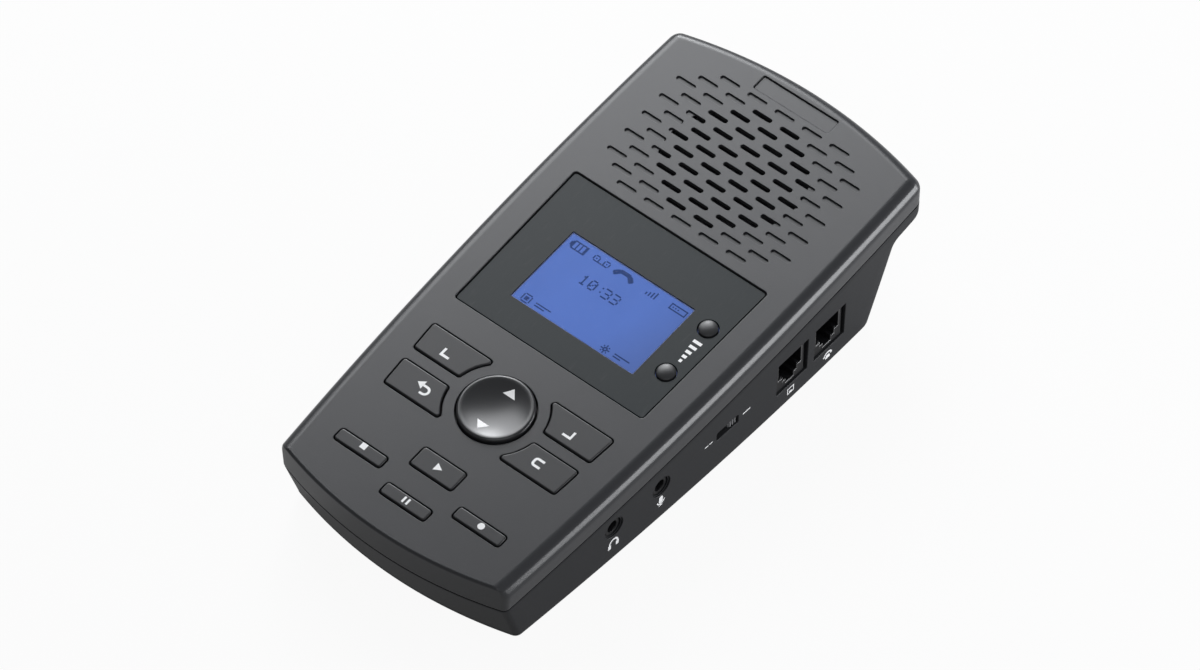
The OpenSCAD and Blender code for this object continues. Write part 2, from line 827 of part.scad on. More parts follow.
module speaker_cone() {
    cone_t = 0.6;
    top = basket_neck_d - rim_d - 0.4;
    color([0.1, 0.1, 0.1])
        deck()
            translate([0, grille_v, -basket_neck_d])
                rotate_extrude($fn = 96)
                    polygon([
                        [0, 3], [coil_r, 2], [coil_r + cone_t, 2], [cone_r, top - 1], [cone_r + 1.6, top - 1],
                        [cone_r + 1.6, top], [cone_r - 1, top], [coil_r, 2 + 1.4], [0, 4.4]
                    ]);
}
module speaker_magnet() {
    color([0.35, 0.35, 0.36])
        deck() {
            peg(0, grille_v, magnet_r, basket_neck_d + seat_gap, speaker_d - 1.2);
            peg(0, grille_v, magnet_r - 2, speaker_d - 1.2 - eps, speaker_d);
        }
}
clip_reach = speaker_r + 4.6;
clip_d = rim_d + 2 + seat_gap;
clip_in = clip_reach - speaker_r + 1.6;
clip_out = 2.5;
clip_w = 5;
clip_places = [for (a = [45 : 90 : 315]) [clip_reach * cos(a), grille_v + clip_reach * sin(a), a]];
small_screw_r = 1.1;
small_head_r = 2;
boss_r = 2.7;
module speaker_clips() {
    color("silver")
        deck()
            for (p = clip_places)
                translate([p[0], p[1], -clip_d - 1])
                    rotate([0, 0, p[2]]) {
                        difference() {
                            translate([-clip_in, -clip_w / 2, 0])
                                cube([clip_in + clip_out, clip_w, 1]);
                            translate([0, 0, -over])
                                cylinder(r = small_screw_r + 0.1, h = 1 + 2 * over);
                        }
                        translate([0, 0, -1.3])
                            cylinder(r = small_head_r, h = 1.3 - eps);
                        translate([0, 0, -0.5])
                            cylinder(r = small_screw_r, h = clip_d - deck_t + 1);
                    }
}

// Boards

case_screw_back = [half_w - 8.25, 58];
case_screw_front = [half_w - 11.05, -68];
case_screw_places = [for (p = [case_screw_back, case_screw_front], s = [-1, 1]) [s * p[0], p[1]]];
case_post_r = head_r + 1.7;
board_clear = 1.4;
key_screw_u = window_front_u - 2.1;
key_board_mid_u = key_screw_u + 3;
key_board_back_u = key_screw_u + 4;
key_board_front_u = case_screw_front[0] - case_post_r - board_clear;
key_board_v0 = pause_v - 5.5;
key_board_v1 = window_v1 + 0.2;
neck_v = case_screw_front[1] + 8;
key_board_screws = [
    for (p = [
        [key_screw_u, window_v1 - 4.3], [key_screw_u, window_v0 - 5],
        [key_board_front_u - 6.5, case_screw_front[1] + 3]
    ], s = [-1, 1]) [s * p[0], p[1]]
];
mat_edge = 1.5;
mat_front_u = key_board_front_u - 0.5;
mat_back_v = big_far_v + 2.2;
// Edges of the main board: clear of the side walls, the battery bay and the case screws
board_side_gap = 0.95;
function board_x(y) = wall_x(y, board_z) - wall - board_side_gap;
strip_x = bay_x1 + bay_wall + board_clear;
notch_x = case_screw_back[0] - case_post_r - board_clear;
board_y0 = -53;
board_y1 = bay_y1 + bay_wall + board_clear + 0.3;
board_y2 = case_screw_back[1] - case_post_r - board_clear;
board_y3 = 67.5;
strip_screw_y = -35;
main_board_screws = [
    [5.8 - board_x(board_y1), board_y1 + 6.5],
    [(strip_x + board_x(strip_screw_y)) / 2, strip_screw_y],
    [4 - notch_x, board_y3 - 7.5], [notch_x - 4, board_y3 - 7.5]
];
module key_board() {
    color([0.1, 0.35, 0.2])
        deck()
            difference() {
                slab(key_board_d, key_board_d + board_t)
                    polygon([
                        [-key_board_front_u, key_board_v0], [key_board_front_u, key_board_v0],
                        [key_board_front_u, neck_v], [key_board_mid_u, neck_v + 2],
                        [key_board_back_u, key_board_v1], [-key_board_back_u, key_board_v1],
                        [-key_board_mid_u, neck_v + 2], [-key_board_front_u, neck_v]
                    ]);
                for (p = key_board_screws)
                    peg(p[0], p[1], small_screw_r + 0.1, key_board_d - over, key_board_d + board_t + over);
            }
}
module main_board() {
    color([0.1, 0.35, 0.2])
        base()
            difference() {
                translate([0, 0, board_under_z])
                    linear_extrude(height = board_t)
                        polygon([
                            [-board_x(board_y1), board_y1], [strip_x, board_y1], [strip_x, board_y0],
                            [board_x(board_y0), board_y0], [board_x(board_y1), board_y1],
                            [board_x(board_y2), board_y2], [notch_x, board_y2], [notch_x, board_y3],
                            [-notch_x, board_y3], [-notch_x, board_y2], [-board_x(board_y2), board_y2]
                        ]);
                for (p = main_board_screws)
                    post(p[0], p[1], small_screw_r + 0.1, board_under_z - over, board_z + over);
            }
}
// Flat cable between the boards, with a connector at each end
cable_x = -14;
cable_half_w = 9;
cable_t = 0.5;
module board_cable() {
    top = deck_h + 14 * tan(tilt) - (key_board_d + board_t + 2) / cos(tilt);
    color("white") {
        base()
            translate([cable_x - cable_half_w, 0, 0])
                rotate([90, 0, 90])
                    linear_extrude(height = 2 * cable_half_w)
                        polygon([
                            [6, board_z + 3], [6 + cable_t, board_z + 3],
                            [14 + cable_t, top], [14, top]
                        ]);
        base()
            box(cable_x - cable_half_w - 1, cable_x + cable_half_w + 1, 4.5, 8, board_z, board_z + 3.4);
        deck()
            block(
                cable_x - cable_half_w - 1, cable_x + cable_half_w + 1, 11.5, 15.5,
                key_board_d + board_t, key_board_d + board_t + 2.6
            );
    }
}

// Sockets on the main board

phone_body_w = phone_w + 2.4;
phone_body_h = 12.6;
phone_body_l = 15;
phone_top_z = axis_z + 5.1;
phone_notch = 1.7;
function phone_face(y) = wall_x(y, axis_z) - 0.7;
module phone_jack(y) {
    face = phone_face(y);
    back = face - phone_d;
    notch_z = phone_top_z - phone_h;
    color([0.16, 0.16, 0.17])
        base()
            difference() {
                box(
                    face - phone_body_l, face, y - phone_body_w / 2, y + phone_body_w / 2,
                    board_z, board_z + phone_body_h
                );
                box(back, face + over, y - phone_w / 2, y + phone_w / 2, notch_z, phone_top_z);
                box(back, face + over, y - 3.1, y + 3.1, notch_z - phone_notch, notch_z + eps);
                box(
                    back, face + over, y - 1.7, y + 1.7,
                    notch_z - 2 * phone_notch, notch_z - phone_notch + eps
                );
            }
}
module phone_jack_line() { phone_jack(phone_y0); }
module phone_jack_handset() { phone_jack(phone_y1); }
// Four sprung wires in each phone socket, running down and forward from its roof
contact_t = 0.45;
contact_pitch = 1.02;
module phone_jack_contacts() {
    color("gold")
        base()
            for (y = [phone_y0, phone_y1], k = [-1.5, -0.5, 0.5, 1.5])
                let (x = phone_face(y) - phone_d)
                translate([0, y + k * contact_pitch + contact_t / 2, 0])
                    rotate([90, 0, 0])
                        linear_extrude(height = contact_t)
                            polygon([
                                [x + 9.5, phone_top_z], [x + 9.5 - contact_t, phone_top_z],
                                [x + 1.4, phone_top_z - 2], [x + 1.4, phone_top_z - 2.4]
                            ]);
}
jack_body_w = 7;
jack_back_x = bay_x1 + bay_wall + board_clear - 0.5;
jack_back_t = 1;
nose_r = 3;
nose_sink = 0.7;
jack_gap = 0.6;
function inner_x(y) = wall_x(y, axis_z) - wall - jack_gap;
// Small round socket: a block on the board with a nose that reaches into the wall
module plug_jack(y) {
    tip = wall_x(y, axis_z) - nose_sink;
    root = inner_x(y);
    color([0.12, 0.12, 0.13])
        base()
            difference() {
                union() {
                    box(
                        jack_back_x, root, y - jack_body_w / 2, y + jack_body_w / 2,
                        board_z, axis_z + 3.4
                    );
                    rod_x(root - over, tip, y, axis_z, nose_r);
                }
                rod_x(jack_back_x + jack_back_t, tip + over, y, axis_z, plug_r);
            }
}
module earphone_jack() { plug_jack(ear_y); }
module microphone_jack() { plug_jack(mic_y); }

// Slide switch
switch_body_w = 12.6;
switch_half_h = 2.7;
knob_w = 3.4;
knob_h = 2.6;
switch_root = inner_x(switch_y);
switch_rest_y = switch_y + switch_travel / 2;
module source_switch_body() {
    slot = (switch_travel + knob_w) / 2 + play_gap;
    color("silver")
        base()
            difference() {
                union() {
                    box(
                        switch_root - 5.6, switch_root, switch_y - switch_body_w / 2,
                        switch_y + switch_body_w / 2, axis_z - switch_half_h, axis_z + switch_half_h
                    );
                    for (k = [-1 : 1])
                        box(
                            switch_root - 3.2, switch_root - 2.4, switch_y + k * 3 - 0.4,
                            switch_y + k * 3 + 0.4, board_z, axis_z - switch_half_h + eps
                        );
                }
                box(
                    switch_root - 3, switch_root + over, switch_y - slot, switch_y + slot,
                    axis_z - knob_h / 2 - play_gap, axis_z + knob_h / 2 + play_gap
                );
            }
}
module source_switch_knob() {
    color([0.5, 0.5, 0.5])
        base()
            box(
                switch_root - 2.7, wall_x(switch_y, axis_z) - 0.3, switch_rest_y - knob_w / 2,
                switch_rest_y + knob_w / 2, axis_z - knob_h / 2, axis_z + knob_h / 2
            );
}

// Sockets in the rear wall
power_z = board_z + 5.4;
power_nose_r = 4;
power_half_w = 4.6;
power_body_l = 11;
power_body_h = 10.6;
power_bore_l = 6;
power_tip = rear_y(power_u + power_nose_r, power_z - power_nose_r) - 0.5;
power_root = power_tip - power_nose_r;
module power_jack() {
    color([0.12, 0.12, 0.13])
        base() {
            difference() {
                union() {
                    box(
                        power_u - power_half_w, power_u + power_half_w,
                        power_root - power_body_l, power_root, board_z, board_z + power_body_h
                    );
                    rod_y(power_u, power_root - over, power_tip, power_z, power_nose_r);
                }
                rod_y(power_u, power_root - power_bore_l, power_tip + over, power_z, power_r);
            }
            rod_y(power_u, power_root - power_bore_l - over, power_tip - 1, power_z, power_pin_r);
        }
}
data_w = 8;
data_h = 4.2;
data_shell_t = 0.4;
data_tip = rear_y(data_u, board_z) - 0.8;
module data_socket() {
    x0 = data_u - data_w / 2;
    x1 = data_u + data_w / 2;
    color("silver")
        base()
            difference() {
                box(x0, x1, data_tip - 9.5, data_tip, board_z, board_z + data_h);
                difference() {
                    box(
                        x0 + data_shell_t, x1 - data_shell_t, data_tip - 8, data_tip + over,
                        board_z + data_shell_t, board_z + data_h - data_shell_t
                    );
                    box(
                        data_u - 2.6, data_u + 2.6, data_tip - 8 - over, data_tip - 1,
                        board_z + 1.7, board_z + 2.7
                    );
                }
            }
}

// Memory card and its socket, at the left side
card_z = board_z + 0.7;
card_out_x = -wall_x(card_y, card_z) + 0.2;
card_in_x = card_out_x + card_l;
card_gap = 0.3;
card_shell_x = card_out_x + wall + 0.8;
module card_socket() {
    half = card_w / 2 + card_gap;
    color("silver")
        base()
            difference() {
                box(
                    card_shell_x, card_in_x + 1.5, card_y - half - 0.8, card_y + half + 0.8,
                    board_z, card_z + card_t + card_gap + 0.5
                );
                box(
                    card_shell_x - over, card_in_x + 0.3, card_y - half, card_y + half,
                    card_z - card_gap, card_z + card_t + card_gap
                );
            }
}
module memory_card() {
    color([0.15, 0.2, 0.4])
        base()
            translate([0, 0, card_z])
                linear_extrude(height = card_t)
                    polygon([
                        [card_out_x, card_y - card_w / 2], [card_in_x, card_y - card_w / 2],
                        [card_in_x, card_y + card_w / 2 - 4], [card_in_x - 4, card_y + card_w / 2],
                        [card_out_x, card_y + card_w / 2]
                    ]);
}

// Upper shell

module upper_bosses() {
    for (p = key_board_screws)
        peg(p[0], p[1], boss_r, deck_t - over, key_board_d);
    for (p = clip_places)
        peg(p[0], p[1], boss_r, deck_t - over, clip_d);
    for (p = case_screw_places)
        peg(p[0], p[1], screw_r + 2.1, deck_t - over, low_seam_d);
    peg(0, grille_v, speaker_r + 1.6, deck_t - over, rim_d + 1.8);
}
module key_openings() {
    for (side = [-1, 1], row = [-1, 1])
        big_key_shape(side, row, 0);
    for (s = [-1, 1])
        bar_key_shape(s * side_key_u, side_key_v, side_key_w, thin_key_h, 0);
    bar_key_shape(0, play_v, play_w, play_h, 0);
    bar_key_shape(0, pause_v, pause_w, thin_key_h, 0);
}
module upper_cuts() {
    slab(-over, deck_t + over) key_openings();
    peg(0, nav_v, nav_hole_r, -over, deck_t + over);
    slab(-over, window_floor_d) window_shape(0);
    block(
        -glass_w / 2 - seat_gap, glass_w / 2 + seat_gap, frame_v0, frame_v1 - ledge,
        window_floor_d - over, pad_d + over
    );
    for (v = [volume_v0, volume_v1])
        peg(volume_u, v, volume_hole_r, window_floor_d - over, pad_d + over);
    slab(-over, blind_d) grille();
    intersection() {
        slab(blind_d - 0.1, slot_d) grille();
        peg(0, grille_v, sound_r, 0, deck_t);
    }
    peg(0, grille_v, sound_r, slot_d - 0.1, deck_t + over);
    peg(0, grille_v, speaker_r + play_gap, deck_t, rim_d + 3);
    slab(-over, lamp_floor_d) lamp_shape(0);
    block(-4.4, 4.4, lamp_v - 1.5, lamp_v + 1.5, lamp_floor_d - over, lamp_floor_d + 3);
    for (p = key_board_screws)
        peg(p[0], p[1], small_screw_r, pad_d, key_board_d + over);
    for (p = clip_places)
        peg(p[0], p[1], small_screw_r + 0.1, deck_t - 0.2, clip_d + over);
    for (p = case_screw_places)
        peg(p[0], p[1], screw_r + 0.1, deck_t + 1, low_seam_d + over);
}
module top_shell() {
    outer = [
        deck_ring(upper_outline(seam_d, 0), seam_d),
        for (a = [90 : -11.25 : 0])
            let (d = edge_r * (1 - cos(a)))
            deck_ring(upper_outline(d, 0), d)
    ];
    inner_d = [seam_d + over, edge_r + 1, deck_t + 1, deck_t];
    inner_in = [wall, wall, wall + 0.5, wall + 1];
    inner = [for (k = [0 : 3]) deck_ring(upper_outline(max(inner_d[k], edge_r), inner_in[k]), inner_d[k])];
    color([0.33, 0.33, 0.34])
        difference() {
            union() {
                difference() {
                    loft(outer);
                    loft(inner);
                }
                deck() {
                    slab(deck_t - over, pad_d) window_shape(1.5);
                    slab(deck_t - over, lamp_floor_d + 1.2) lamp_shape(1.2);
                    upper_bosses();
                }
            }
            deck() upper_cuts();
        }
}

// Lower shell

bay_top_z = shell_z + door_t + cell_d + 0.8;
foot_back = [half_w - 11.25, 49];
foot_front = [half_w - 14.25, -76];
foot_places = [for (p = [foot_back, foot_front], s = [-1, 1]) [s * p[0], p[1]]];
foot_chamfer = 0.4;
rib_x = half_w - 15.25;
ledge_w = 2;
ledge_z = shell_z + door_t / 2;
tab_l = 3;
tab_w = 8;
tab_t = 1;
tab_places = [bay_x0 + 8, bay_x1 - 8];

module lower_outer() {
    loft([
        flat_ring(base_outline(base_back_in + 5.2, base_edge_r), shell_z),
        flat_ring(base_outline(base_back_in + 2, base_edge_r * 0.29), shell_z + base_edge_r * 0.29),
        lower_ring(0, base_back_in, 0),
        lower_ring(bend_t, lip_back_in, 0),
        lower_ring(lip_t - 0.025, lip_back_in - 0.9, 0),
        lower_ring(lip_t, lip_back_in - 3, 0),
        lower_ring(lip_t + 0.012, 0.8, 0),
        lower_ring(lip_t + 0.04, 0, 0),
        lower_ring(1, 0, 0)
    ]);
}
module lower_inner() {
    loft([
        flat_ring(base_outline(base_back_in + 0.4, wall), floor_z),
        lower_ring(bend_t, lip_back_in + 0.4, wall),
        lower_ring(lip_t + 0.07, lip_back_in - 1, wall),
        lower_ring(lip_t + 0.085, 0.3, wall),
        lower_ring(1.04, 0.3, wall)
    ]);
}
// Posts, walls of the battery bay and ribs, all rooted in the floor
module lower_posts() {
    root_z = floor_z - 1.1;
    deck()
        for (p = case_screw_places)
            peg(p[0], p[1], case_post_r, low_seam_d + seat_gap, depth_at(p[1], root_z));
    base() {
        for (p = main_board_screws)
            post(p[0], p[1], boss_r, root_z, board_under_z);
        box(
            bay_x0 - bay_wall, bay_x1 + bay_wall, bay_y0 - bay_wall, bay_y1 + bay_wall,
            root_z, bay_top_z + bay_wall
        );
        for (y = [20, 40])
            box(-rib_x, rib_x, y, y + 1.2, root_z, floor_z + 1.8);
    }
}
module lower_cuts() {
    base() {
        box(bay_x0, bay_x1, bay_y0, bay_y1, -over, bay_top_z);
        box(
            bay_x0 - ledge_w, bay_x1 + ledge_w, bay_y0 - ledge_w, bay_y1 + ledge_w,
            -over, ledge_z
        );
        for (x = tab_places)
            box(
                x - tab_w / 2 - 0.4, x + tab_w / 2 + 0.4, bay_y1 - over, bay_y1 + ledge_w + tab_l + 0.8,
                ledge_z - eps, ledge_z + tab_t + 1.4
            );
        for (p = foot_places)
            post(p[0], p[1], foot_r + 0.1, -over, shell_z + foot_sink);
        for (p = main_board_screws)
            post(p[0], p[1], small_screw_r, floor_z - 0.6, board_z);
        for (y = [phone_y0, phone_y1])
            box(
                phone_face(y) - 4, half_w + over, y - phone_body_w / 2 - 0.2,
                y + phone_body_w / 2 + 0.9, board_z - 0.3, board_z + phone_body_h + 0.2
            );
        for (y = [ear_y, mic_y]) {
            rod_x(inner_x(y) - 1, half_w + over, y, axis_z, nose_r + 0.15);
            rod_x(wall_x(y, axis_z) - 0.5, half_w + over, y, axis_z, nose_r + 0.6);
        }
        translate([inner_x(switch_y) - 1, switch_y, axis_z])
            rotate([0, 90, 0])
                linear_extrude(height = wall + 6)
                    round_rect(knob_h + 0.8, switch_travel + knob_w + 0.8, 0.6);
        rod_y(power_u, power_root - 1, power_tip + 10, power_z, power_nose_r + 0.3);
        box(
            data_u - data_w / 2 - 0.5, data_u + data_w / 2 + 0.5, data_tip - 3, data_tip + 8,
            board_z - 0.3, board_z + data_h + 0.4
        );
        box(
            -half_w - over, card_shell_x + 0.5, card_y - card_w / 2 - 0.5, card_y + card_w / 2 + 0.5,
            card_z - 0.5, card_z + card_t + 0.5
        );
        translate([-half_w - 1.4, card_y, card_z + card_t / 2])
            rotate([90, 0, 0])
                cylinder(r = 3.4, h = 10, center = true);
    }
    deck()
        for (p = case_screw_places) {
            peg(p[0], p[1], head_r + 0.3, head_d, depth_at(p[1], -2));
            peg(p[0], p[1], screw_r + 0.2, low_seam_d - over, head_d + over);
        }
}
module bottom_shell() {
    color([0.24, 0.24, 0.25])
        difference() {
            union() {
                difference() {
                    lower_outer();
                    lower_inner();
                }
                lower_posts();
            }
            lower_cuts();
        }
}

// Battery door, cells and contacts

module battery_door() {
    g = door_gap;
    color([0.24, 0.24, 0.25])
        base() {
            box(
                bay_x0 - ledge_w + g, bay_x1 + ledge_w - g, bay_y0 - ledge_w + g, bay_y1 + ledge_w - g,
                shell_z, ledge_z - 0.1
            );
            box(bay_x0 + g, bay_x1 - g, bay_y0 + g, bay_y1 - g, ledge_z - 0.2, shell_z + door_t);
            for (x = tab_places)
                box(
                    x - tab_w / 2, x + tab_w / 2, bay_y1 - g - 2, bay_y1 + ledge_w + tab_l,
                    ledge_z + 0.1, ledge_z + 0.1 + tab_t
                );
        }
}
cell_z = shell_z + door_t + 0.3 + cell_d / 2;
nub_r = 2.6;
contact_w = 9;
contact_plate = 0.4;
contact_bump_r = 2.2;
contact_bump = 1.2;
module battery_cells() {
    color([0.2, 0.35, 0.6])
        for (i = [0 : cells - 1])
            let (
                x = bay_x0 + 0.8 + cell_d / 2 + i * (cell_d + 0.8),
                dir = i % 2 == 0 ? 1 : -1,
                mid = (bay_y0 + bay_y1) / 2
            )
            translate([x, deck_y + mid - dir * cell_l / 2, cell_z])
                rotate([-90 * dir, 0, 0]) {
                    cylinder(d = cell_d, h = cell_l - 1);
                    cylinder(r = nub_r, h = cell_l);
                }
}
module battery_contacts() {
    color("silver")
        for (i = [0 : cells - 1], s = [-1, 1])
            let (
                x = bay_x0 + 0.8 + cell_d / 2 + i * (cell_d + 0.8),
                y = s < 0 ? bay_y0 : bay_y1
            )
            translate([x, deck_y + y - s * contact_plate / 2, cell_z])
                rotate([90, 0, 0]) {
                    cube([contact_w, contact_w, contact_plate], center = true);
                    translate([0, 0, s > 0 ? 0 : -contact_bump])
                        cylinder(r = contact_bump_r, h = contact_bump);
                }
}

// Screws and feet

module case_screws() {
    color("silver")
        deck()
            for (p = case_screw_places) {
                peg(p[0], p[1], head_r, head_d + seat_gap, head_d + 2.2);
                peg(p[0], p[1], screw_r, deck_t + 2, head_d + 1);
            }
}
module board_screws() {
    color("silver")
        deck() {
            for (p = key_board_screws) {
                peg(p[0], p[1], small_head_r, key_board_d + board_t, key_board_d + board_t + 1.4);
                peg(p[0], p[1], small_screw_r - 0.05, pad_d + 0.5, key_board_d + board_t + 0.5);
            }
        }
    color("silver")
        base()
            for (p = main_board_screws) {
                post(p[0], p[1], small_head_r, board_z, board_z + 1.4);
                post(p[0], p[1], small_screw_r - 0.05, floor_z, board_z + 0.5);
            }
}
module rubber_feet() {
    color([0.1, 0.1, 0.1])
        for (p = foot_places)
            translate([p[0], deck_y + p[1], 0]) {
                cylinder(r1 = foot_r - foot_chamfer, r2 = foot_r, h = foot_chamfer);
                translate([0, 0, foot_chamfer - eps])
                    cylinder(r = foot_r, h = shell_z + foot_sink - foot_chamfer);
            }
}

top_shell();
bottom_shell();
display_window();
lcd_glass();
lcd_frame();
lcd_backlight();
indicator_lens();
indicator_board();
speaker_basket();
speaker_cone();
speaker_magnet();
speaker_clips();
key_board();
main_board();
board_cable();
keypad_mat();
key_soft_left();
key_soft_right();
key_back();
key_clear();
key_stop();
key_record();
key_play();
key_pause();
nav_rocker();
nav_pivot();
key_volume_up();
key_volume_down();
volume_switches();
phone_jack_line();
phone_jack_handset();
phone_jack_contacts();
earphone_jack();
microphone_jack();
source_switch_body();
source_switch_knob();
power_jack();
data_socket();
card_socket();
memory_card();
battery_door();
battery_cells();
battery_contacts();
case_screws();
board_screws();
rubber_feet();
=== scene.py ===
import json
from math import atan, atan2, cos, hypot, pi, radians, remainder, sin, sqrt, tan

import bmesh
import bpy
from mathutils import Matrix, Vector
from mathutils.geometry import delaunay_2d_cdt

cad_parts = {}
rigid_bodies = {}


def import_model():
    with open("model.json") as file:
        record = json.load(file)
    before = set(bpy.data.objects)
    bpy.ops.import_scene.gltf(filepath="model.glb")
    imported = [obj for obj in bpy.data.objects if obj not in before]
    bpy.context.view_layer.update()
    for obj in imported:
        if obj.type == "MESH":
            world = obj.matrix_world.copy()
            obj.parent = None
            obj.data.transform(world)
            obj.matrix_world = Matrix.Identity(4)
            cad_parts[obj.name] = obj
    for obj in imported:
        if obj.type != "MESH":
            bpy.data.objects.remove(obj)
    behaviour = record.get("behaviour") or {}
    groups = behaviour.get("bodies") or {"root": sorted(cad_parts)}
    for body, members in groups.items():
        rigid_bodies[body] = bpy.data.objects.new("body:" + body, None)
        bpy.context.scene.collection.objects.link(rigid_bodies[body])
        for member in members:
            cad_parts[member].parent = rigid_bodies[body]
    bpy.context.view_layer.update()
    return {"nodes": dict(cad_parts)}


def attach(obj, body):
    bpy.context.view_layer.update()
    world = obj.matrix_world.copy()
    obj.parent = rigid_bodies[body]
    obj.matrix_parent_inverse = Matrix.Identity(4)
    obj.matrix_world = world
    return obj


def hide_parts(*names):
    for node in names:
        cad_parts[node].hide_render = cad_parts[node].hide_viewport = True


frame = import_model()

bl_info = {
    "name": "Telephone call recorder",
    "version": (1, 0, 0),
    "blender": (4, 5, 0),
    "location": "3D View > Sidebar > Recorder",
    "description": "Dresses the packed recorder with moulded shells, keys, sockets and finishes",
    "category": "Object",
}

# Sizes of the packed model, in millimetres
MM = 0.001
HALF_W = 45.25
FRONT_V, BACK_V, WIDEST_V = 94.0, 93.8, 35.0
SIDE_R, FRONT_R, BACK_R = 1550.0, 134.0, 153.0
FRONT_CORNER_R, BACK_CORNER_R = 2.5, 4.0
DECK_H, TILT = 36.0, radians(5.5)
WALL, DECK_T, EDGE_R, CREASE_R = 2.2, 2.2, 4.0, 0.8
SEAM_D, SEAM_GAP, SEAM_IN, FRONT_LEAN = 9.4, 0.3, 0.35, 0.5
LOW_SEAM_D = SEAM_D + SEAM_GAP
LIP_H, BASE_SIDE_IN, BASE_FRONT_IN, BASE_BACK_IN, LIP_BACK_IN = 5.4, 1.05, 5.9, 20.9, 11.8
BASE_EDGE_R, BASE_BACK_SWEEP, SHELL_Z, FLOOR_T = 1.5, 5.2, 0.8, 2.2
DRAFT = SEAM_IN / (SEAM_D - EDGE_R)
SIN, COS, TAN = sin(TILT), cos(TILT), tan(TILT)
DECK_Y = (FRONT_V - BACK_V) / 2 * COS - (CREASE_R + LOW_SEAM_D) / 2 * SIN
AXIS_Z = SHELL_Z + 14.5
BOARD_Z = AXIS_Z - 6.3
WINDOW_SINK, WINDOW_FLOOR, WINDOW_GAP = 0.4, 1.9, 0.35
WINDOW_V0, WINDOW_V1, WINDOW_FRONT_U, WINDOW_BACK_U = -22.2, 31.3, 33.6, 34.5
LCD_V, LCD_W, LCD_H = 1.5, 43.6, 27.2
VOLUME_U, VOLUME_V0, VOLUME_V1, VOLUME_HOLE_R = 28.7, -6.0, 12.2, 3.1
KEY_GAP, KEY_UP, KEY_CORNER_R, FLANGE = 0.35, 0.4, 1.2, 0.8
FLANGE_D, STEM_D, STEM_R = 2.5, 6.4, 2.1
NAV_V, NAV_HOLE_R, NAV_R, NAV_UP, NAV_DISH = -44.0, 11.4, 10.95, 1.2, 1.5
RING_R, BIG_HALF_W, BIG_NARROW, BIG_H, BIG_SPACE = 14.9, 32.4, 1.8, 10.2, 3.6
SIDE_KEY_U, SIDE_KEY_V, SIDE_KEY_W, THIN_KEY_H = 21.1, -76.1, 17.0, 4.6
PLAY_V, PLAY_W, PLAY_H, PAUSE_V, PAUSE_W = -68.5, 15.5, 7.5, -82.0, 16.4
GRILLE_V, SLOT_STEP, ROW_STEP, SLOT_L, SLOT_W = 58.3, 9.76, 3.8, 6.6, 1.4
ROWS, SOUND_R, SOUND_D, BLIND_D = 6, 22.0, 1.2, 0.6
SEAM_STEP_H, SEAM_STEP_IN = 0.5, 0.7
LAMP_V, LAMP_W, LAMP_H, LAMP_SINK, LAMP_FLOOR = 86.2, 26.8, 5.2, 0.5, 1.9
PHONE_YS, EAR_Y, MIC_Y, SWITCH_Y = (30.0, 46.5), -44.5, -25.3, 2.3
PHONE_W, PHONE_H, PHONE_D, PHONE_NOTCH = 9.9, 6.8, 12.0, 1.7
PHONE_BODY_W, PHONE_BODY_H, PHONE_BODY_L = 12.3, 12.6, 15.0
PHONE_TOP_Z = AXIS_Z + 5.1
PLUG_R, NOSE_R, JACK_W = 1.8, 3.0, 7.0
SWITCH_TRAVEL, KNOB_W, KNOB_H = 5.0, 3.4, 2.6
POWER_U, POWER_R, POWER_PIN_R, POWER_NOSE_R = 20.0, 2.75, 1.0, 4.0
POWER_Z = BOARD_Z + 5.4
DATA_W, DATA_H = 8.0, 4.2
CARD_Y, CARD_W, CARD_L, CARD_T = 26.0, 24.0, 32.0, 2.1
CARD_Z = BOARD_Z + 0.7
BAY_X0, BAY_X1, BAY_Y0, BAY_Y1, BAY_TOP, BAY_WALL = -36.0, 24.8, -57.0, -3.4, 17.8, 1.6
BAY_X, BAY_Y = (BAY_X0 + BAY_X1) / 2, (BAY_Y0 + BAY_Y1) / 2
CELL_D, CELL_L, CELL_Z, DOOR_T, DOOR_GAP, LEDGE_W = 14.2, 50.0, 10.2, 2.0, 0.4, 2.0
LEDGE_Z = SHELL_Z + DOOR_T / 2
FEET = [(34.0, 49.0), (-34.0, 49.0), (31.0, -76.0), (-31.0, -76.0)]
FOOT_R = 5.0
CASE_SCREWS = [(37.0, 58.0), (-37.0, 58.0), (34.2, -68.0), (-34.2, -68.0)]
TAB_XS, TAB_W, TAB_L = (BAY_X0 + 8.0, BAY_X1 - 8.0), 8.0, 3.0
HEAD_R, HEAD_D, WELL_R, POST_R = 2.6, 17.0, 2.9, 4.3
JACK_BACK_X = BAY_X1 + BAY_WALL + 0.9
LEAST_CORNER_R, SCREW_R, BORE_R, CELL_GAP = 0.4, 1.4, 1.6, 0.8
FOOT_SINK, JACK_SINK, LAMP_GAP = 0.8, 0.7, 0.15
# Heights over the side wall's face to which its openings' chamfers and cuts run down
CHAMFER_W, CUT_W = -0.15, -5.0
NAV_SWING, KEY_LINE_W = 3.0, 0.75
CLOCK_U, CLOCK_PITCH, SIGN_PITCH, DOT_GAP = -10.2, 0.5, 0.44, 0.03
# Steps along the parts of a plan outline
END_STEPS, CORNER_STEPS, SIDE_STEPS = 18, 9, 40
# Turns of the deck's long edge, in degrees, above and below its flatter stretch, and the depths
# of the rings on the wall that follows
EDGE_TURNS_ABOVE = [2.5 * k for k in range(20)]
EDGE_TURNS_BELOW = (67, 70, 73, 76, 79, 82, 86, 90)
UPPER_WALL_DEPTHS = [5.0, 6.4, 7.8, SEAM_D - 0.4]
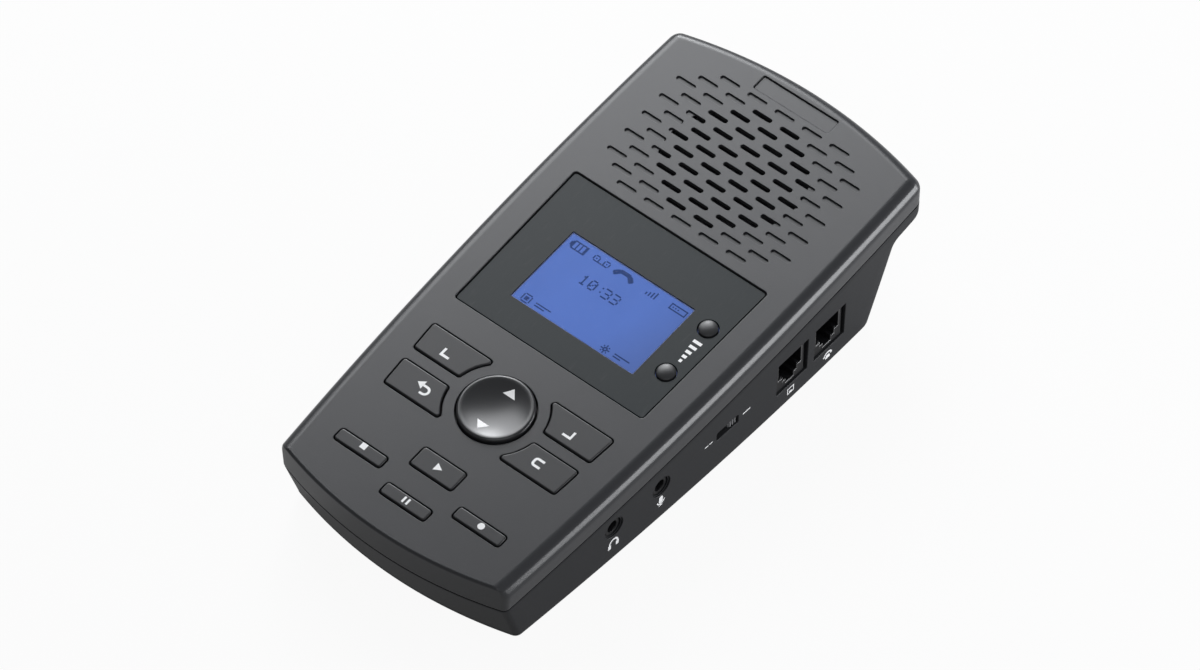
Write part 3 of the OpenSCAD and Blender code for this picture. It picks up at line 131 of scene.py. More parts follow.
# Lip over the rear wall: corner points of the curve below it, and points of its rounded foot,
# both as how far each stands in and how high it is over the lip's underside
LIP_CURVE_MID, LIP_CURVE_END = (10.75, -0.1), (7.4, 0.05)
LIP_FOOT = [
    (4.2, 0.2), (1.5, 0.34), (0.95, 0.4), (0.55, 0.53), (0.22, 0.78), (0.05, 1.08), (0, 1.35),
    (0, 2.8)]
# Angles in degrees above which an edge is shaded as sharp
SHARP_ANGLE, LOWER_SHARP_ANGLE = 35.0, 32.0
# Depth in metres of the slightest waviness that a finish shows
FINE_BUMP = 0.00001


def length(name, description, default, low, high):
    """A size kept in metres, from numbers in millimetres."""
    return bpy.props.FloatProperty(
        name=name, description=description, default=default * MM, min=low * MM, max=high * MM,
        unit="LENGTH", precision=6)


class RecorderSizes(bpy.types.PropertyGroup):
    """Small forms that the solids leave out"""

    opening_round: length("Opening rounding", "Rounding round the key openings", 0.22, 0.05, 0.4)
    key_round: length("Key rounding", "Rounding along the top edges of the keys", 0.4, 0.1, 0.6)
    slot_round: length("Slot rounding", "Rounding round the grille slots", 0.12, 0.02, 0.3)
    print_height: length("Print height", "Thickness of the printed marks", 0.02, 0.01, 0.1)
    seam_round: length("Seam rounding", "Rounding of the two edges along the seam", 0.12, 0.05, 0.3)
    picture_depth: length("Picture depth", "Depth of the display picture", 0.5, 0.2, 0.9)


def colour(name, description, value):
    return bpy.props.FloatVectorProperty(
        name=name, description=description, subtype="COLOR", size=3, min=0, max=1, default=value)


class RecorderFinish(bpy.types.PropertyGroup):
    """Colours of the finishes and the light"""

    upper: colour("Upper shell", "Matt plastic of the upper shell", (0.029, 0.0298, 0.0325))
    lower: colour("Lower shell", "Matt plastic of the lower shell", (0.021, 0.0216, 0.0235))
    keys: colour("Keys", "Plastic of the keys", (0.019, 0.0196, 0.0214))
    window: colour("Window", "Tinted plastic round the display", (0.018, 0.023, 0.025))
    picture: colour("Display", "Light of the display", (0.092, 0.175, 0.53))
    ink: colour("Display ink", "Dark marks on the display", (0.02, 0.045, 0.16))
    marks: colour("Printed marks", "White print on keys and case", (0.92, 0.92, 0.92))
    grain: length("Grain", "Size of the fine grain in the moulded surfaces", 0.28, 0.05, 1.0)
    grain_depth: bpy.props.FloatProperty(
        name="Grain depth", description="How strongly the grain shows in the light",
        default=0.35, min=0.0, max=1.0, subtype="FACTOR")
    glow: bpy.props.FloatProperty(
        name="Display glow", description="Brightness of the lit display",
        default=0.9, min=0.0, max=2.0)


# Places and plan curves of the case

def deck_point(u, v, w):
    """A point of the sloping deck: across, along, and above it."""
    return (u, DECK_Y + v * COS - w * SIN, DECK_H + v * SIN + w * COS)


def as_is(x, y, z):
    return (x, y, z)


def base_point(x, y, z):
    """A point over the table, counted along from the middle of the deck."""
    return (x, y + DECK_Y, z)


def edge_depth(degrees):
    """Depth at which the deck's long edge has turned by this much."""
    return EDGE_R * (1 - cos(radians(degrees)))


def edge_in(d, r):
    """How far an edge rounded by r draws in at depth d."""
    return r - sqrt(max(0.0, r * r - max(0.0, r - d) ** 2))


FACET = [edge_depth(47.5), edge_depth(67.0)]


def fillet_in(d):
    """How far the deck's long edge draws in at depth d: an arc with one flatter stretch."""
    low, high = FACET
    if not low < d < high:
        return edge_in(d, EDGE_R)
    start, end = edge_in(low, EDGE_R), edge_in(high, EDGE_R)
    return start + (end - start) * (d - low) / (high - low)


def side_u(v, inset):
    """Half the width at v, on a bowed side drawn in by the inset."""
    return HALF_W - inset - SIDE_R + sqrt(SIDE_R ** 2 - (v - WIDEST_V) ** 2)


def seam_z(y):
    """Height of the seam over the table."""
    return DECK_H + y * TAN - LOW_SEAM_D / COS


WALL_Z0 = SHELL_Z + BASE_EDGE_R
SEAM_SIDE_IN = SEAM_IN + 0.1


def wall_share(y, z):
    """How far up the wall a point is, from 0 at its foot to 1 at the seam."""
    return (z - WALL_Z0) / (seam_z(y) - WALL_Z0)


def wall_x(y, z):
    """Outer face of the lower shell's side wall."""
    return side_u(y, BASE_SIDE_IN + (SEAM_SIDE_IN - BASE_SIDE_IN) * wall_share(y, z))


LIP_T = 1 - LIP_H / (seam_z(BACK_V) - WALL_Z0)
BEND_DROP_T = 0.09
BEND_T = LIP_T - BEND_DROP_T


def rear_y(x, z):
    """Outer face of the lower shell's rear wall, under the lip."""
    t = wall_share(BACK_V - BASE_BACK_IN, z)
    b = BACK_V - BASE_BACK_IN + (BASE_BACK_IN - LIP_BACK_IN) * t / BEND_T
    return b * (1 - t + t * COS) + t * LOW_SEAM_D * SIN - BACK_R + sqrt(BACK_R ** 2 - x * x)


def meet(c1, r1, c2, r2, side):
    """One of the two points where two circles cross."""
    dx, dy = c2[0] - c1[0], c2[1] - c1[1]
    d = hypot(dx, dy)
    a = (r1 * r1 - r2 * r2 + d * d) / (2 * d)
    h = side * sqrt(r1 * r1 - a * a)
    return (c1[0] + (a * dx - h * dy) / d, c1[1] + (a * dy + h * dx) / d)


def arc(c, r, a0, a1, n):
    """Points of an arc from angle a0 to a1 in n steps, with both ends."""
    return [
        (c[0] + r * cos(a0 + (a1 - a0) * i / n), c[1] + r * sin(a0 + (a1 - a0) * i / n))
        for i in range(n + 1)
    ]


def outline(si, f, b, fi, bi, rf, rb):
    """Plan outline with bowed sides, front and back, anticlockwise from the middle of the front."""
    cs, cf, cb = (HALF_W - SIDE_R, WIDEST_V), (0.0, f + FRONT_R), (0.0, b - BACK_R)
    rs, r_front, r_back = SIDE_R - si, FRONT_R - fi, BACK_R - bi
    pf = meet(cs, rs - rf, cf, r_front - rf, -1)
    pb = meet(cs, rs - rb, cb, r_back - rb, 1)

    def heading(a, c):
        return atan2(a[1] - c[1], a[0] - c[0])

    half = arc(cf, r_front, -pi / 2, heading(pf, cf), END_STEPS)
    half += arc(pf, rf, heading(pf, cf), heading(pf, cs), CORNER_STEPS)[1:]
    half += arc(cs, rs, heading(pf, cs), heading(pb, cs), SIDE_STEPS)[1:]
    half += arc(pb, rb, heading(pb, cs), heading(pb, cb), CORNER_STEPS)[1:]
    half += arc(cb, r_back, heading(pb, cb), pi / 2, END_STEPS)[1:]
    return half + [(-x, y) for x, y in half[-2:0:-1]]


def upper_outline(d, inset=0.0):
    side = fillet_in(d) + DRAFT * max(0.0, d - EDGE_R) + inset
    front = edge_in(d, CREASE_R) + inset
    return outline(
        side, -FRONT_V - FRONT_LEAN * d / SEAM_D, BACK_V, front, side, *corner_radii(side))


def deck_ring(points, d):
    return [deck_point(u, v, -d) for u, v in points]


def flat_ring(points, z):
    return [(x, y + DECK_Y, z) for x, y in points]


def corner_radii(inset):
    """Radii of the front and back corners of an outline drawn in by the inset."""
    return max(LEAST_CORNER_R, FRONT_CORNER_R - inset), max(LEAST_CORNER_R, BACK_CORNER_R - inset)


def base_outline(back_in, inset):
    """Plan of the lower shell at the foot of its wall."""
    return outline(
        BASE_SIDE_IN + inset, -FRONT_V + BASE_FRONT_IN, BACK_V - back_in, inset, inset,
        *corner_radii(inset))


def seam_outline(back_in, inset):
    """Plan of the lower shell at the seam."""
    return outline(
        SEAM_SIDE_IN + inset, -FRONT_V - FRONT_LEAN, BACK_V - back_in, inset, inset,
        *corner_radii(inset))


def lower_ring(t, back_in, inset):
    """Points of the lower shell's wall at a share t of its height."""
    low = flat_ring(base_outline(back_in, inset), WALL_Z0)
    high = deck_ring(seam_outline(back_in, inset), LOW_SEAM_D)
    return [tuple(a + (b - a) * t for a, b in zip(p, q)) for p, q in zip(low, high)]


# Plan shapes: each gives its outline, grown by a distance, anticlockwise

def circle_shape(u, v, r, n=32):
    return lambda grow=0.0: arc((u, v), r + grow, 0, 2 * pi, n)[:-1]


def rounded_shape(centres, r, n=5):
    """Convex shape through corner centres, anticlockwise, with corners of radius r."""
    def shape(grow=0.0):
        points = []
        count = len(centres)
        for i, c in enumerate(centres):
            before, after = centres[i - 1], centres[(i + 1) % count]
            a0 = atan2(c[1] - before[1], c[0] - before[0]) - pi / 2
            a1 = atan2(after[1] - c[1], after[0] - c[0]) - pi / 2
            while a1 < a0:
                a1 += 2 * pi
            points += arc(c, r + grow, a0, a1, n)
        return points
    return shape


def bar_shape(u, v, w, h, r, n=5):
    a, b = w / 2 - r, h / 2 - r
    return rounded_shape([(u - a, v - b), (u + a, v - b), (u + a, v + b), (u - a, v + b)], r, n)


def bay_shape(r):
    """Plan of the battery bay, with corners of radius r."""
    return bar_shape(BAY_X, BAY_Y, BAY_X1 - BAY_X0, BAY_Y1 - BAY_Y0, r, 3)


def rect(u, v, w, h):
    """Loop of a rectangle about its middle."""
    a, b = w / 2, h / 2
    return [(u - a, v - b), (u + a, v - b), (u + a, v + b), (u - a, v + b)]


def slot_shape(u, v):
    a, r = (SLOT_L - SLOT_W) / 2, SLOT_W / 2
    return lambda grow=0.0: (
        arc((u + a, v), r + grow, -pi / 2, pi / 2, 7)
        + arc((u - a, v), r + grow, pi / 2, 1.5 * pi, 7))


def big_u(v):
    """Outer edge of the large keys, which isn't quite parallel to the case's."""
    far = NAV_V + BIG_SPACE / 2 + BIG_H
    return BIG_HALF_W - BIG_NARROW * (far - v) / (2 * (far - NAV_V))


def big_key_shape(side, row):
    """Large key beside the rocker, hollowed by the ring round it."""
    r = KEY_CORNER_R
    low, high = sorted((NAV_V + row * BIG_SPACE / 2, NAV_V + row * (BIG_SPACE / 2 + BIG_H)))
    slant = atan((big_u(high) - big_u(low)) / (high - low))
    ring = RING_R + r

    def ring_u(v):
        return sqrt(ring ** 2 - (v - NAV_V) ** 2)

    def side_centre(v):
        return (big_u(v) - r / cos(slant), v)

    a, b = (ring_u(low + r), low + r), side_centre(low + r)
    c, d = side_centre(high - r), (ring_u(high - r), high - r)

    def shape(grow=0.0):
        def at_ring(p):
            return atan2(p[1] - NAV_V, p[0])
        rad = r + grow
        pts = arc(a, rad, at_ring(a) + pi, 1.5 * pi, 6)
        if pts[0][0] > pts[-1][0]:
            pts = arc(a, rad, at_ring(a) - pi, -pi / 2, 6)
        pts += arc(b, rad, -pi / 2, -slant, 6)
        pts += arc(c, rad, -slant, pi / 2, 6)
        turn = at_ring(d) + pi
        pts += arc(d, rad, pi / 2, turn if turn > 0 else turn + 2 * pi, 6)
        pts += arc((0, NAV_V), RING_R - grow, at_ring(d), at_ring(a), 14)[1:-1]
        return pts if side > 0 else [(-u, v) for u, v in reversed(pts)]
    return shape


def window_shape():
    r = 1.2
    lean = (WINDOW_BACK_U - WINDOW_FRONT_U) / (WINDOW_V1 - WINDOW_V0)

    def u_at(v):
        return WINDOW_FRONT_U + lean * (v - WINDOW_V0) - r * hypot(1, lean)
    v0, v1 = WINDOW_V0 + r, WINDOW_V1 - r
    return rounded_shape([(-u_at(v0), v0), (u_at(v0), v0), (u_at(v1), v1), (-u_at(v1), v1)], r, 6)


def slot_places():
    """Middles of the grille's slots, row by row, every other row set off by half a step."""
    for row in range(-ROWS, ROWS + 1):
        odd = abs(row) % 2
        reach = 2 if abs(row) == ROWS else 3
        for i in range(-reach, reach - odd + 1):
            yield ((i + odd / 2) * SLOT_STEP, GRILLE_V + row * ROW_STEP)


def over_speaker(loop):
    """Part of a convex outline that lies over the speaker's opening."""
    def away(p):
        return hypot(p[0], p[1] - GRILLE_V) - SOUND_R

    kept, brinks = [], {}
    for p, q in zip(loop, loop[1:] + loop[:1]):
        a, b = away(p), away(q)
        if a < 0:
            kept.append(p)
        if (a < 0) != (b < 0):
            t = a / (a - b)
            kept.append((p[0] + (q[0] - p[0]) * t, p[1] + (q[1] - p[1]) * t))
            brinks["out" if a < 0 else "in"] = len(kept) - 1
    out, back = kept[brinks["out"]], kept[brinks["in"]]
    a0 = atan2(out[1] - GRILLE_V, out[0])
    turn = remainder(atan2(back[1] - GRILLE_V, back[0]) - a0, 2 * pi)
    rim = arc((0.0, GRILLE_V), SOUND_R, a0, a0 + turn, 6)[1:-1]
    after = brinks["out"] + 1
    return kept[:after] + rim + kept[after:]


BIG_KEYS = {
    "key_soft_left": (-1, 1), "key_soft_right": (1, 1), "key_back": (-1, -1), "key_clear": (1, -1)}
BAR_KEYS = {
    "key_stop": (-SIDE_KEY_U, SIDE_KEY_V, SIDE_KEY_W, THIN_KEY_H),
    "key_record": (SIDE_KEY_U, SIDE_KEY_V, SIDE_KEY_W, THIN_KEY_H),
    "key_play": (0, PLAY_V, PLAY_W, PLAY_H),
    "key_pause": (0, PAUSE_V, PAUSE_W, THIN_KEY_H)}
KEYS = {
    **{node: big_key_shape(side, row) for node, (side, row) in BIG_KEYS.items()},
    **{node: bar_shape(*place, KEY_CORNER_R) for node, place in BAR_KEYS.items()}}
BIG_MID_U = (RING_R * 0.8 + big_u(NAV_V)) / 2
KEY_STEMS = {
    **{node: (side * BIG_MID_U, NAV_V + row * (BIG_SPACE + BIG_H) / 2)
       for node, (side, row) in BIG_KEYS.items()},
    **{node: place[:2] for node, place in BAR_KEYS.items()}}


# Mesh building

def inside(point, loop):
    """Whether a point lies inside a loop, by counting crossings."""
    x, y = point
    hit = False
    for (x0, y0), (x1, y1) in zip(loop, loop[1:] + loop[:1]):
        if (y0 > y) != (y1 > y) and x < x0 + (x1 - x0) * (y - y0) / (y1 - y0):
            hit = not hit
    return hit


def triangles(loops):
    """Triangles between loops in the plane, as points and triples of point numbers."""
    points, edges = [], []
    for loop in loops:
        start = len(points)
        points += [Vector(p) for p in loop]
        edges += [(start + i, start + (i + 1) % len(loop)) for i in range(len(loop))]
    verts, _, faces, origin, _, _ = delaunay_2d_cdt(points, edges, [], 0, 1e-6)
    return [tuple(v) for v in verts], faces, [o[0] if o else None for o in origin]


def keep_flats(mesh, angle):
    """Marks the sharp edges, which would otherwise forget which faces are flat."""
    flats = [not face.use_smooth for face in mesh.polygons]
    mesh.set_sharp_from_angle(angle=radians(angle))
    mesh.polygons.foreach_set("use_smooth", [not flat for flat in flats])
    mesh.update()


def rounded_edge(r, n=3):
    """Steps of a rounded edge: how far each still stands back, and how far down it is."""
    return [(r * (1 - sin(a)), r * (1 - cos(a))) for a in (pi / 2 * k / n for k in range(n + 1))]


def edge_levels(shape, top, r, n=3, inset=0.0):
    """(outline, height) pairs down a rounded top edge, out to the shape less the inset."""
    return [(shape(-inset - back), top - down) for back, down in rounded_edge(r, n)]


def link(item):
    """Puts an object into the scene, once."""
    linked = bpy.context.scene.collection.objects
    if item.name not in linked:
        linked.link(item)


class Form:
    """Points and faces of one piece in millimetres; place puts its own frame into the part's."""

    def __init__(self, place=deck_point):
        self.place = place
        self.points, self.faces = [], []
        self.look = 0

    def ring(self, points):
        start = len(self.points)
        self.points += [self.place(*p) for p in points]
        return list(range(start, len(self.points)))

    def ring_at(self, loop, w):
        return self.ring([(u, v, w) for u, v in loop])

    def face(self, corners, flat=False):
        self.faces.append((corners, flat, self.look))

    def bridge(self, top, bottom, flip=False):
        for i in range(len(top)):
            j = (i + 1) % len(top)
            quad = (top[i], bottom[i], bottom[j], top[j])
            self.face(quad[::-1] if flip else quad)

    def stack(self, rings, flip=False):
        for top, bottom in zip(rings, rings[1:]):
            self.bridge(top, bottom, flip)

    def cap(self, ring, flip=False):
        self.face(ring[::-1] if flip else ring, True)

    def solid(self, levels):
        """Closed body through (outline, height) pairs from the top down."""
        rings = [self.ring_at(loop, w) for loop, w in levels]
        self.stack(rings)
        self.cap(rings[0])
        self.cap(rings[-1], True)

    def grown(self, shape, *levels):
        """Closed body through (growth of the shape, height) pairs from the top down."""
        self.solid([(shape(grow), w) for grow, w in levels])

    def plate(self, loop, low, high):
        self.solid([(loop, high), (loop, low)])

    def turned(self, levels, u=0.0, v=0.0, n=40):
        """Closed round body through (radius, height) pairs from the top down."""
        self.solid([(circle_shape(u, v, r, n)(), w) for r, w in levels])

    def fill(self, outer, holes, w, flip=False):
        """Flat face at height w between an outline and holes, given as (loop, ring) pairs."""
        numbers = [n for _, ring in [outer] + holes for n in ring]
        verts, faces, origin = triangles([loop for loop, _ in [outer] + holes])
        boxes = [
            (min(u for u, _ in loop), max(u for u, _ in loop),
             min(v for _, v in loop), max(v for _, v in loop), loop) for loop, _ in holes]
        extra = {}
        for face in faces:
            x, y = (sum(verts[i][k] for i in face) / 3 for k in (0, 1))
            if not inside((x, y), outer[0]):
                continue
            if any(a < x < b and c < y < d and inside((x, y), loop) for a, b, c, d, loop in boxes):
                continue
            for i in face:
                if origin[i] is None and i not in extra:
                    extra[i] = self.ring([(*verts[i], w)])[0]
            ids = [extra[i] if origin[i] is None else numbers[origin[i]] for i in face]
            (x0, y0), (x1, y1), (x2, y2) = (verts[i] for i in face)
            left = (x1 - x0) * (y2 - y0) - (x2 - x0) * (y1 - y0) > 0
            self.face(ids if left != flip else ids[::-1], True)

    def rim(self, shape, top, rounding, bottom, steps=3, wall_look=0):
        """Rounded edge and wall of an opening: its (loop, ring) in the face, and at its foot."""
        edge = rounded_edge(rounding, steps)
        rings = [self.ring_at(shape(back), top - down) for back, down in edge]
        self.stack(rings, True)
        foot = self.ring_at(shape(0.0), bottom)
        self.look = wall_look
        self.bridge(rings[-1], foot, True)
        self.look = 0
        return (shape(rounding), rings[0]), (shape(0.0), foot)

    def lathe(self, profile, u=0.0, v=0.0, n=64):
        """Turned body through (radius, height) pairs, from the top down; radius 0 closes it."""
        rings = [
            self.ring_at(circle_shape(u, v, r, n)(), w) if r > 0 else self.ring([(u, v, w)]) * n
            for r, w in profile]
        for top, bottom in zip(rings, rings[1:]):
            for i in range(n):
                j = (i + 1) % n
                quad = list(dict.fromkeys((top[i], bottom[i], bottom[j], top[j])))
                if len(quad) > 2:
                    self.face(quad)

    def box(self, x0, x1, y0, y1, z0, z1, r=0.0, n=3):
        """Block between two corners, with edges rounded by r all round."""
        middle = ((x0 + x1) / 2, (y0 + y1) / 2, x1 - x0, y1 - y0)
        if r <= 0:
            self.plate(rect(*middle), z0, z1)
            return
        shape = bar_shape(*middle, r, n)
        levels = [(shape(-back * 0.98), z1 - down) for back, down in rounded_edge(r, n)]
        self.solid(levels + [(loop, z0 + z1 - w) for loop, w in reversed(levels)])

    def block(self, u, v, w, h, z0, z1, r=0.0, n=3):
        """Block about a middle, w wide and h long."""
        self.box(u - w / 2, u + w / 2, v - h / 2, v + h / 2, z0, z1, r, n)

    def mesh(self, name, looks, recalc=False):
        """Mesh in metres; looks holds the names of its finishes, parted by spaces."""
        mesh = bpy.data.meshes.new(name)
        work = bmesh.new()
        verts = [work.verts.new(Vector(p) * MM) for p in self.points]
        for corners, flat, look in self.faces:
            made = work.faces.new([verts[i] for i in corners])
            made.smooth, made.material_index = not flat, look
        bmesh.ops.delete(work, geom=[v for v in work.verts if not v.link_faces], context="VERTS")
        if recalc:
            bmesh.ops.recalc_face_normals(work, faces=work.faces)
        work.to_mesh(mesh)
        work.free()
        for look in looks.split():
            mesh.materials.append(LOOKS[look])
        keep_flats(mesh, SHARP_ANGLE)
        return mesh

    def make(self, name, looks, node=None, body="case"):
        settle(bpy.data.objects.new(name, self.mesh(name, looks)), node, body)


def settle(piece, node, body="case"):
    """Links a finished piece, ties it to its body, and hides the solid that it stands for."""
    link(piece)
    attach(piece, body)
    if node:
        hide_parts(node)


# Shader building

def both_ways(operation):
    """Methods for a value with something, and for something with a value."""
    return (
        lambda self, other: self.maths(operation, self, other),
        lambda self, other: self.maths(operation, other, self))


class Value:
    """A node's output, with arithmetic that adds the nodes for it."""

    def __init__(self, nodes, socket):
        self.nodes, self.socket = nodes, socket

    def maths(self, operation, *terms):
        return self.nodes.value("ShaderNodeMath", {"operation": operation}, dict(enumerate(terms)))

    __add__, __radd__ = both_ways("ADD")
    __sub__, __rsub__ = both_ways("SUBTRACT")
    __mul__, __rmul__ = both_ways("MULTIPLY")
    __gt__ = both_ways("GREATER_THAN")[0]
    larger = both_ways("MAXIMUM")[0]

    def fraction(self):
        return self.maths("FRACT", self)

    def smooth(self, low, high):
        return self.nodes.value(
            "ShaderNodeMapRange", {"interpolation_type": "SMOOTHSTEP"},
            {"Value": self, "From Min": low, "From Max": high, "To Min": 0.0, "To Max": 1.0})


class Nodes:
    """The node tree of a material or world."""

    def __init__(self, owner):
        owner.use_nodes = True
        self.tree = owner.node_tree
        self.tree.nodes.clear()

    def node(self, kind, settings=None, sockets=None):
        node = self.tree.nodes.new(kind)
        for key, value in (settings or {}).items():
            setattr(node, key, value)
        for key, value in (sockets or {}).items():
            self.feed(node.inputs[key], value)
        return node

    def feed(self, socket, value):
        if isinstance(value, Value):
            self.tree.links.new(value.socket, socket)
        elif socket.type == "RGBA" and len(value) == 3:
            socket.default_value = (*value, 1.0)
        else:
            socket.default_value = value

    def value(self, kind, settings=None, sockets=None, output=0):
        return Value(self, self.node(kind, settings, sockets).outputs[output])


class Finish(Nodes):
    """One material, built from values and nodes."""

    def __init__(self, name, **constants):
        self.material = bpy.data.materials.new(name)
        super().__init__(self.material)
        self.shader = self.node("ShaderNodeBsdfPrincipled")
        self.node("ShaderNodeOutputMaterial", {}, {"Surface": Value(self, self.shader.outputs[0])})
        self.surface(**constants)
        self._place = None

    @property
    def place(self):
        """Position in metres in the piece's own frame."""
        if self._place is None:
            self._place = self.value("ShaderNodeTexCoord", output="Object")
        return self._place

    def axes(self):
        split = self.node("ShaderNodeSeparateXYZ", {}, {0: self.place})
        return [Value(self, split.outputs[i]) for i in range(3)]

    def noise(self, size, detail=2.0, roughness=0.5, stretch=None):
        """Noise from 0 to 1 with features of about this size in metres."""
        place = self.place
        if stretch:
            place = self.value(
                "ShaderNodeVectorMath", {"operation": "MULTIPLY"}, {0: place, 1: stretch})
        return self.value("ShaderNodeTexNoise", {}, {
            "Vector": place, "Scale": 1.0 / size, "Detail": detail, "Roughness": roughness})

    def cells(self, size):
        return self.value(
            "ShaderNodeTexVoronoi", {}, {"Vector": self.place, "Scale": 1.0 / size}, "Distance")

    def mix(self, share, first, second):
        return self.value(
            "ShaderNodeMix", {"data_type": "RGBA"}, {0: share, 6: first, 7: second}, 2)

    def bump(self, height, depth, strength):
        return self.value(
            "ShaderNodeBump", {}, {"Height": height, "Distance": depth, "Strength": strength})

    def surface(self, **sockets):
        for key, value in sockets.items():
            self.feed(self.shader.inputs[key.replace("_", " ")], value)
        return self.material


def shade(tint, factor):
    return tuple(max(0.0, min(1.0, c * factor)) for c in tint)


def moulded(name, tint, rough, grain, grain_depth, coat=0.0, spread=0.05, specks=0.5, shine=0.5):
    """Moulded plastic: fine spark-eroded grain, slow mottling, and a few light specks of dust."""
    f = Finish(name, Specular_IOR_Level=shine, Coat_Weight=coat, Coat_Roughness=0.28)
    fine = f.noise(grain, 3.0, 0.6)
    pebble = f.cells(grain * 2.2)
    slow = f.noise(0.018, 3.0, 0.55)
    worn = f.noise(0.0045, 4.0, 0.65).smooth(0.45, 0.8)
    dust = f.noise(0.0007, 1.0, 0.5).smooth(0.745, 0.80) * specks
    base = f.mix(slow, shade(tint, 1 - spread), shade(tint, 1 + spread))
    base = f.mix(worn * 0.06, base, shade(tint, 1.25))
    base = f.mix(dust * 0.2, base, shade(tint, 2.0))
    gloss = rough - 0.018 + 0.01 * slow + 0.026 * fine - 0.005 * worn
    height = fine * 0.7 + pebble * 0.3
    return f.surface(
        Base_Color=base, Roughness=gloss, Normal=f.bump(height, grain * 0.12, grain_depth))


def smooth_plastic(name, tint, rough, coat=0.0, shine=0.5):
    """Polished plastic with slight waviness and fine hairline scuffs."""
    f = Finish(name, Specular_IOR_Level=shine, Coat_Weight=coat, Coat_Roughness=0.08)
    slow = f.noise(0.02, 2.0, 0.5)
    scuffs = f.noise(0.0009, 3.0, 0.6, (1.0, 0.12, 1.0)).smooth(0.55, 0.85)
    base = f.mix(slow, shade(tint, 0.95), shade(tint, 1.05))
    base = f.mix(scuffs * 0.02, base, (0.5, 0.5, 0.5))
    return f.surface(
        Base_Color=base, Roughness=rough + 0.04 * scuffs + 0.04 * slow,
        Normal=f.bump(f.noise(0.0035, 2.0, 0.5) + scuffs * 0.1, FINE_BUMP, 0.3))


def metal(name, tint, rough, brushed=0.0):
    """Plated metal with fine brushing and light tarnish."""
    f = Finish(name, Metallic=1.0)
    tarnish = f.noise(0.004, 4.0, 0.6)
    lines = f.noise(0.0004, 2.0, 0.5, (1.0, 0.06, 1.0))
    base = f.mix(tarnish, shade(tint, 0.82), shade(tint, 1.06))
    return f.surface(
        Base_Color=base, Roughness=rough + 0.12 * tarnish + 0.08 * lines,
        Normal=f.bump(lines, FINE_BUMP, 0.2 + brushed))


def laminate(name, tint):
    """Circuit board: glossy mask over copper tracks and a woven base."""
    f = Finish(name, Coat_Weight=0.4, Coat_Roughness=0.15)
    x, y, _ = f.axes()
    across = (x * 520.0 + f.noise(0.012, 1.0) * 3.0).fraction()
    along = (y * 430.0 + f.noise(0.015, 1.0) * 3.0).fraction()
    tracks = (across > 0.72) * (f.noise(0.006, 0.0) > 0.48)
    tracks = (tracks + (along > 0.76) * (f.noise(0.007, 0.0) > 0.55)).smooth(0.2, 0.8)
    base = f.mix(tracks, tint, shade(tint, 1.9))
    return f.surface(
        Base_Color=base, Roughness=0.42 - 0.1 * tracks + 0.08 * f.noise(0.002),
        Normal=f.bump(tracks + 0.2 * f.noise(0.0003), 0.00004, 0.5))


def rubber(name, tint):
    """Dull rubber, a little dusty."""
    f = Finish(name, Specular_IOR_Level=0.35)
    fine = f.noise(0.00025, 3.0, 0.6)
    slow = f.noise(0.006, 3.0, 0.6)
    dust = slow.smooth(0.55, 0.8)
    return f.surface(
        Base_Color=f.mix(dust * 0.25, tint, shade(tint, 2.2)),
        Roughness=0.78 + 0.12 * slow - 0.05 * fine, Normal=f.bump(fine, 0.00005, 0.5))


def paper_cone(name, tint):
    """Felted paper of the speaker's cone."""
    f = Finish(name, Specular_IOR_Level=0.3)
    felt = f.noise(0.0004, 5.0, 0.7)
    return f.surface(
        Base_Color=f.mix(felt, shade(tint, 0.7), shade(tint, 1.5)), Roughness=0.85 + 0.1 * felt,
        Normal=f.bump(felt, 0.00008, 0.7))


def ink_print(name, tint):
    """Screen print with slightly uneven edges and cover."""
    f = Finish(name, Specular_IOR_Level=0.4)
    cover = f.noise(0.0006, 4.0, 0.7)
    return f.surface(
        Base_Color=f.mix(cover, shade(tint, 0.93), shade(tint, 1.03)), Roughness=0.5 + 0.15 * cover,
        Normal=f.bump(cover, FINE_BUMP, 0.3))


def display_light(name, tint, glow):
    """Lit display: a faint grid of picture points, a little brighter towards its lamp side."""
    f = Finish(name, Roughness=0.6, Specular_IOR_Level=0.05, Emission_Strength=glow)
    x, y, _ = f.axes()
    pitch = 1.0 / 0.00034
    columns = (x * pitch).fraction().smooth(0.78, 0.98)
    rows = (y * pitch).fraction().smooth(0.78, 0.98)
    grid = (columns + rows).smooth(0.0, 1.0)
    cloud = f.noise(0.016, 2.0, 0.5)
    spark = f.noise(0.0008, 3.0, 0.7)
    lit = f.mix(cloud, shade(tint, 0.88), shade(tint, 1.14))
    lit = f.mix(spark * 0.22, lit, shade(tint, 1.35))
    lit = f.mix(grid * 0.16, lit, shade(tint, 0.6))
    far = (x * 26.0 - y * 12.0).smooth(0.15, 0.7)
    lit = f.mix(far * 0.45, lit, (tint[0] * 0.8, tint[1] * 0.6, tint[2] * 0.45))
    unlit = f.mix(cloud, shade(tint, 0.16), shade(tint, 0.2))
    return f.surface(
        Base_Color=unlit, Emission_Color=lit, Normal=f.bump(spark, FINE_BUMP, 0.1))


def clear_cover(name):
    """Clear pane over the display's picture."""
    f = Finish(
        name, Base_Color=(0.02, 0.03, 0.06), Alpha=0.06, Roughness=0.15, Specular_IOR_Level=0.3)
    return f.surface(Normal=f.bump(f.noise(0.012, 1.0), FINE_BUMP, 0.15))


def cell_wrap(name):
    """Sleeve of a cell: a dark band and a copper-coloured band."""
    f = Finish(name, Coat_Weight=0.5, Coat_Roughness=0.12)
    _, y, _ = f.axes()
    band = (y * 1000.0 + 30.0 + 0.3 * f.noise(0.01)).smooth(16.0, 16.4)
    base = f.mix(band, (0.42, 0.2, 0.07), (0.03, 0.032, 0.036))
    scuffs = f.noise(0.001, 3.0, 0.6)
    return f.surface(
        Base_Color=base, Metallic=0.35, Roughness=0.3 + 0.15 * scuffs,
        Normal=f.bump(scuffs, FINE_BUMP, 0.3))


LOOKS = {}


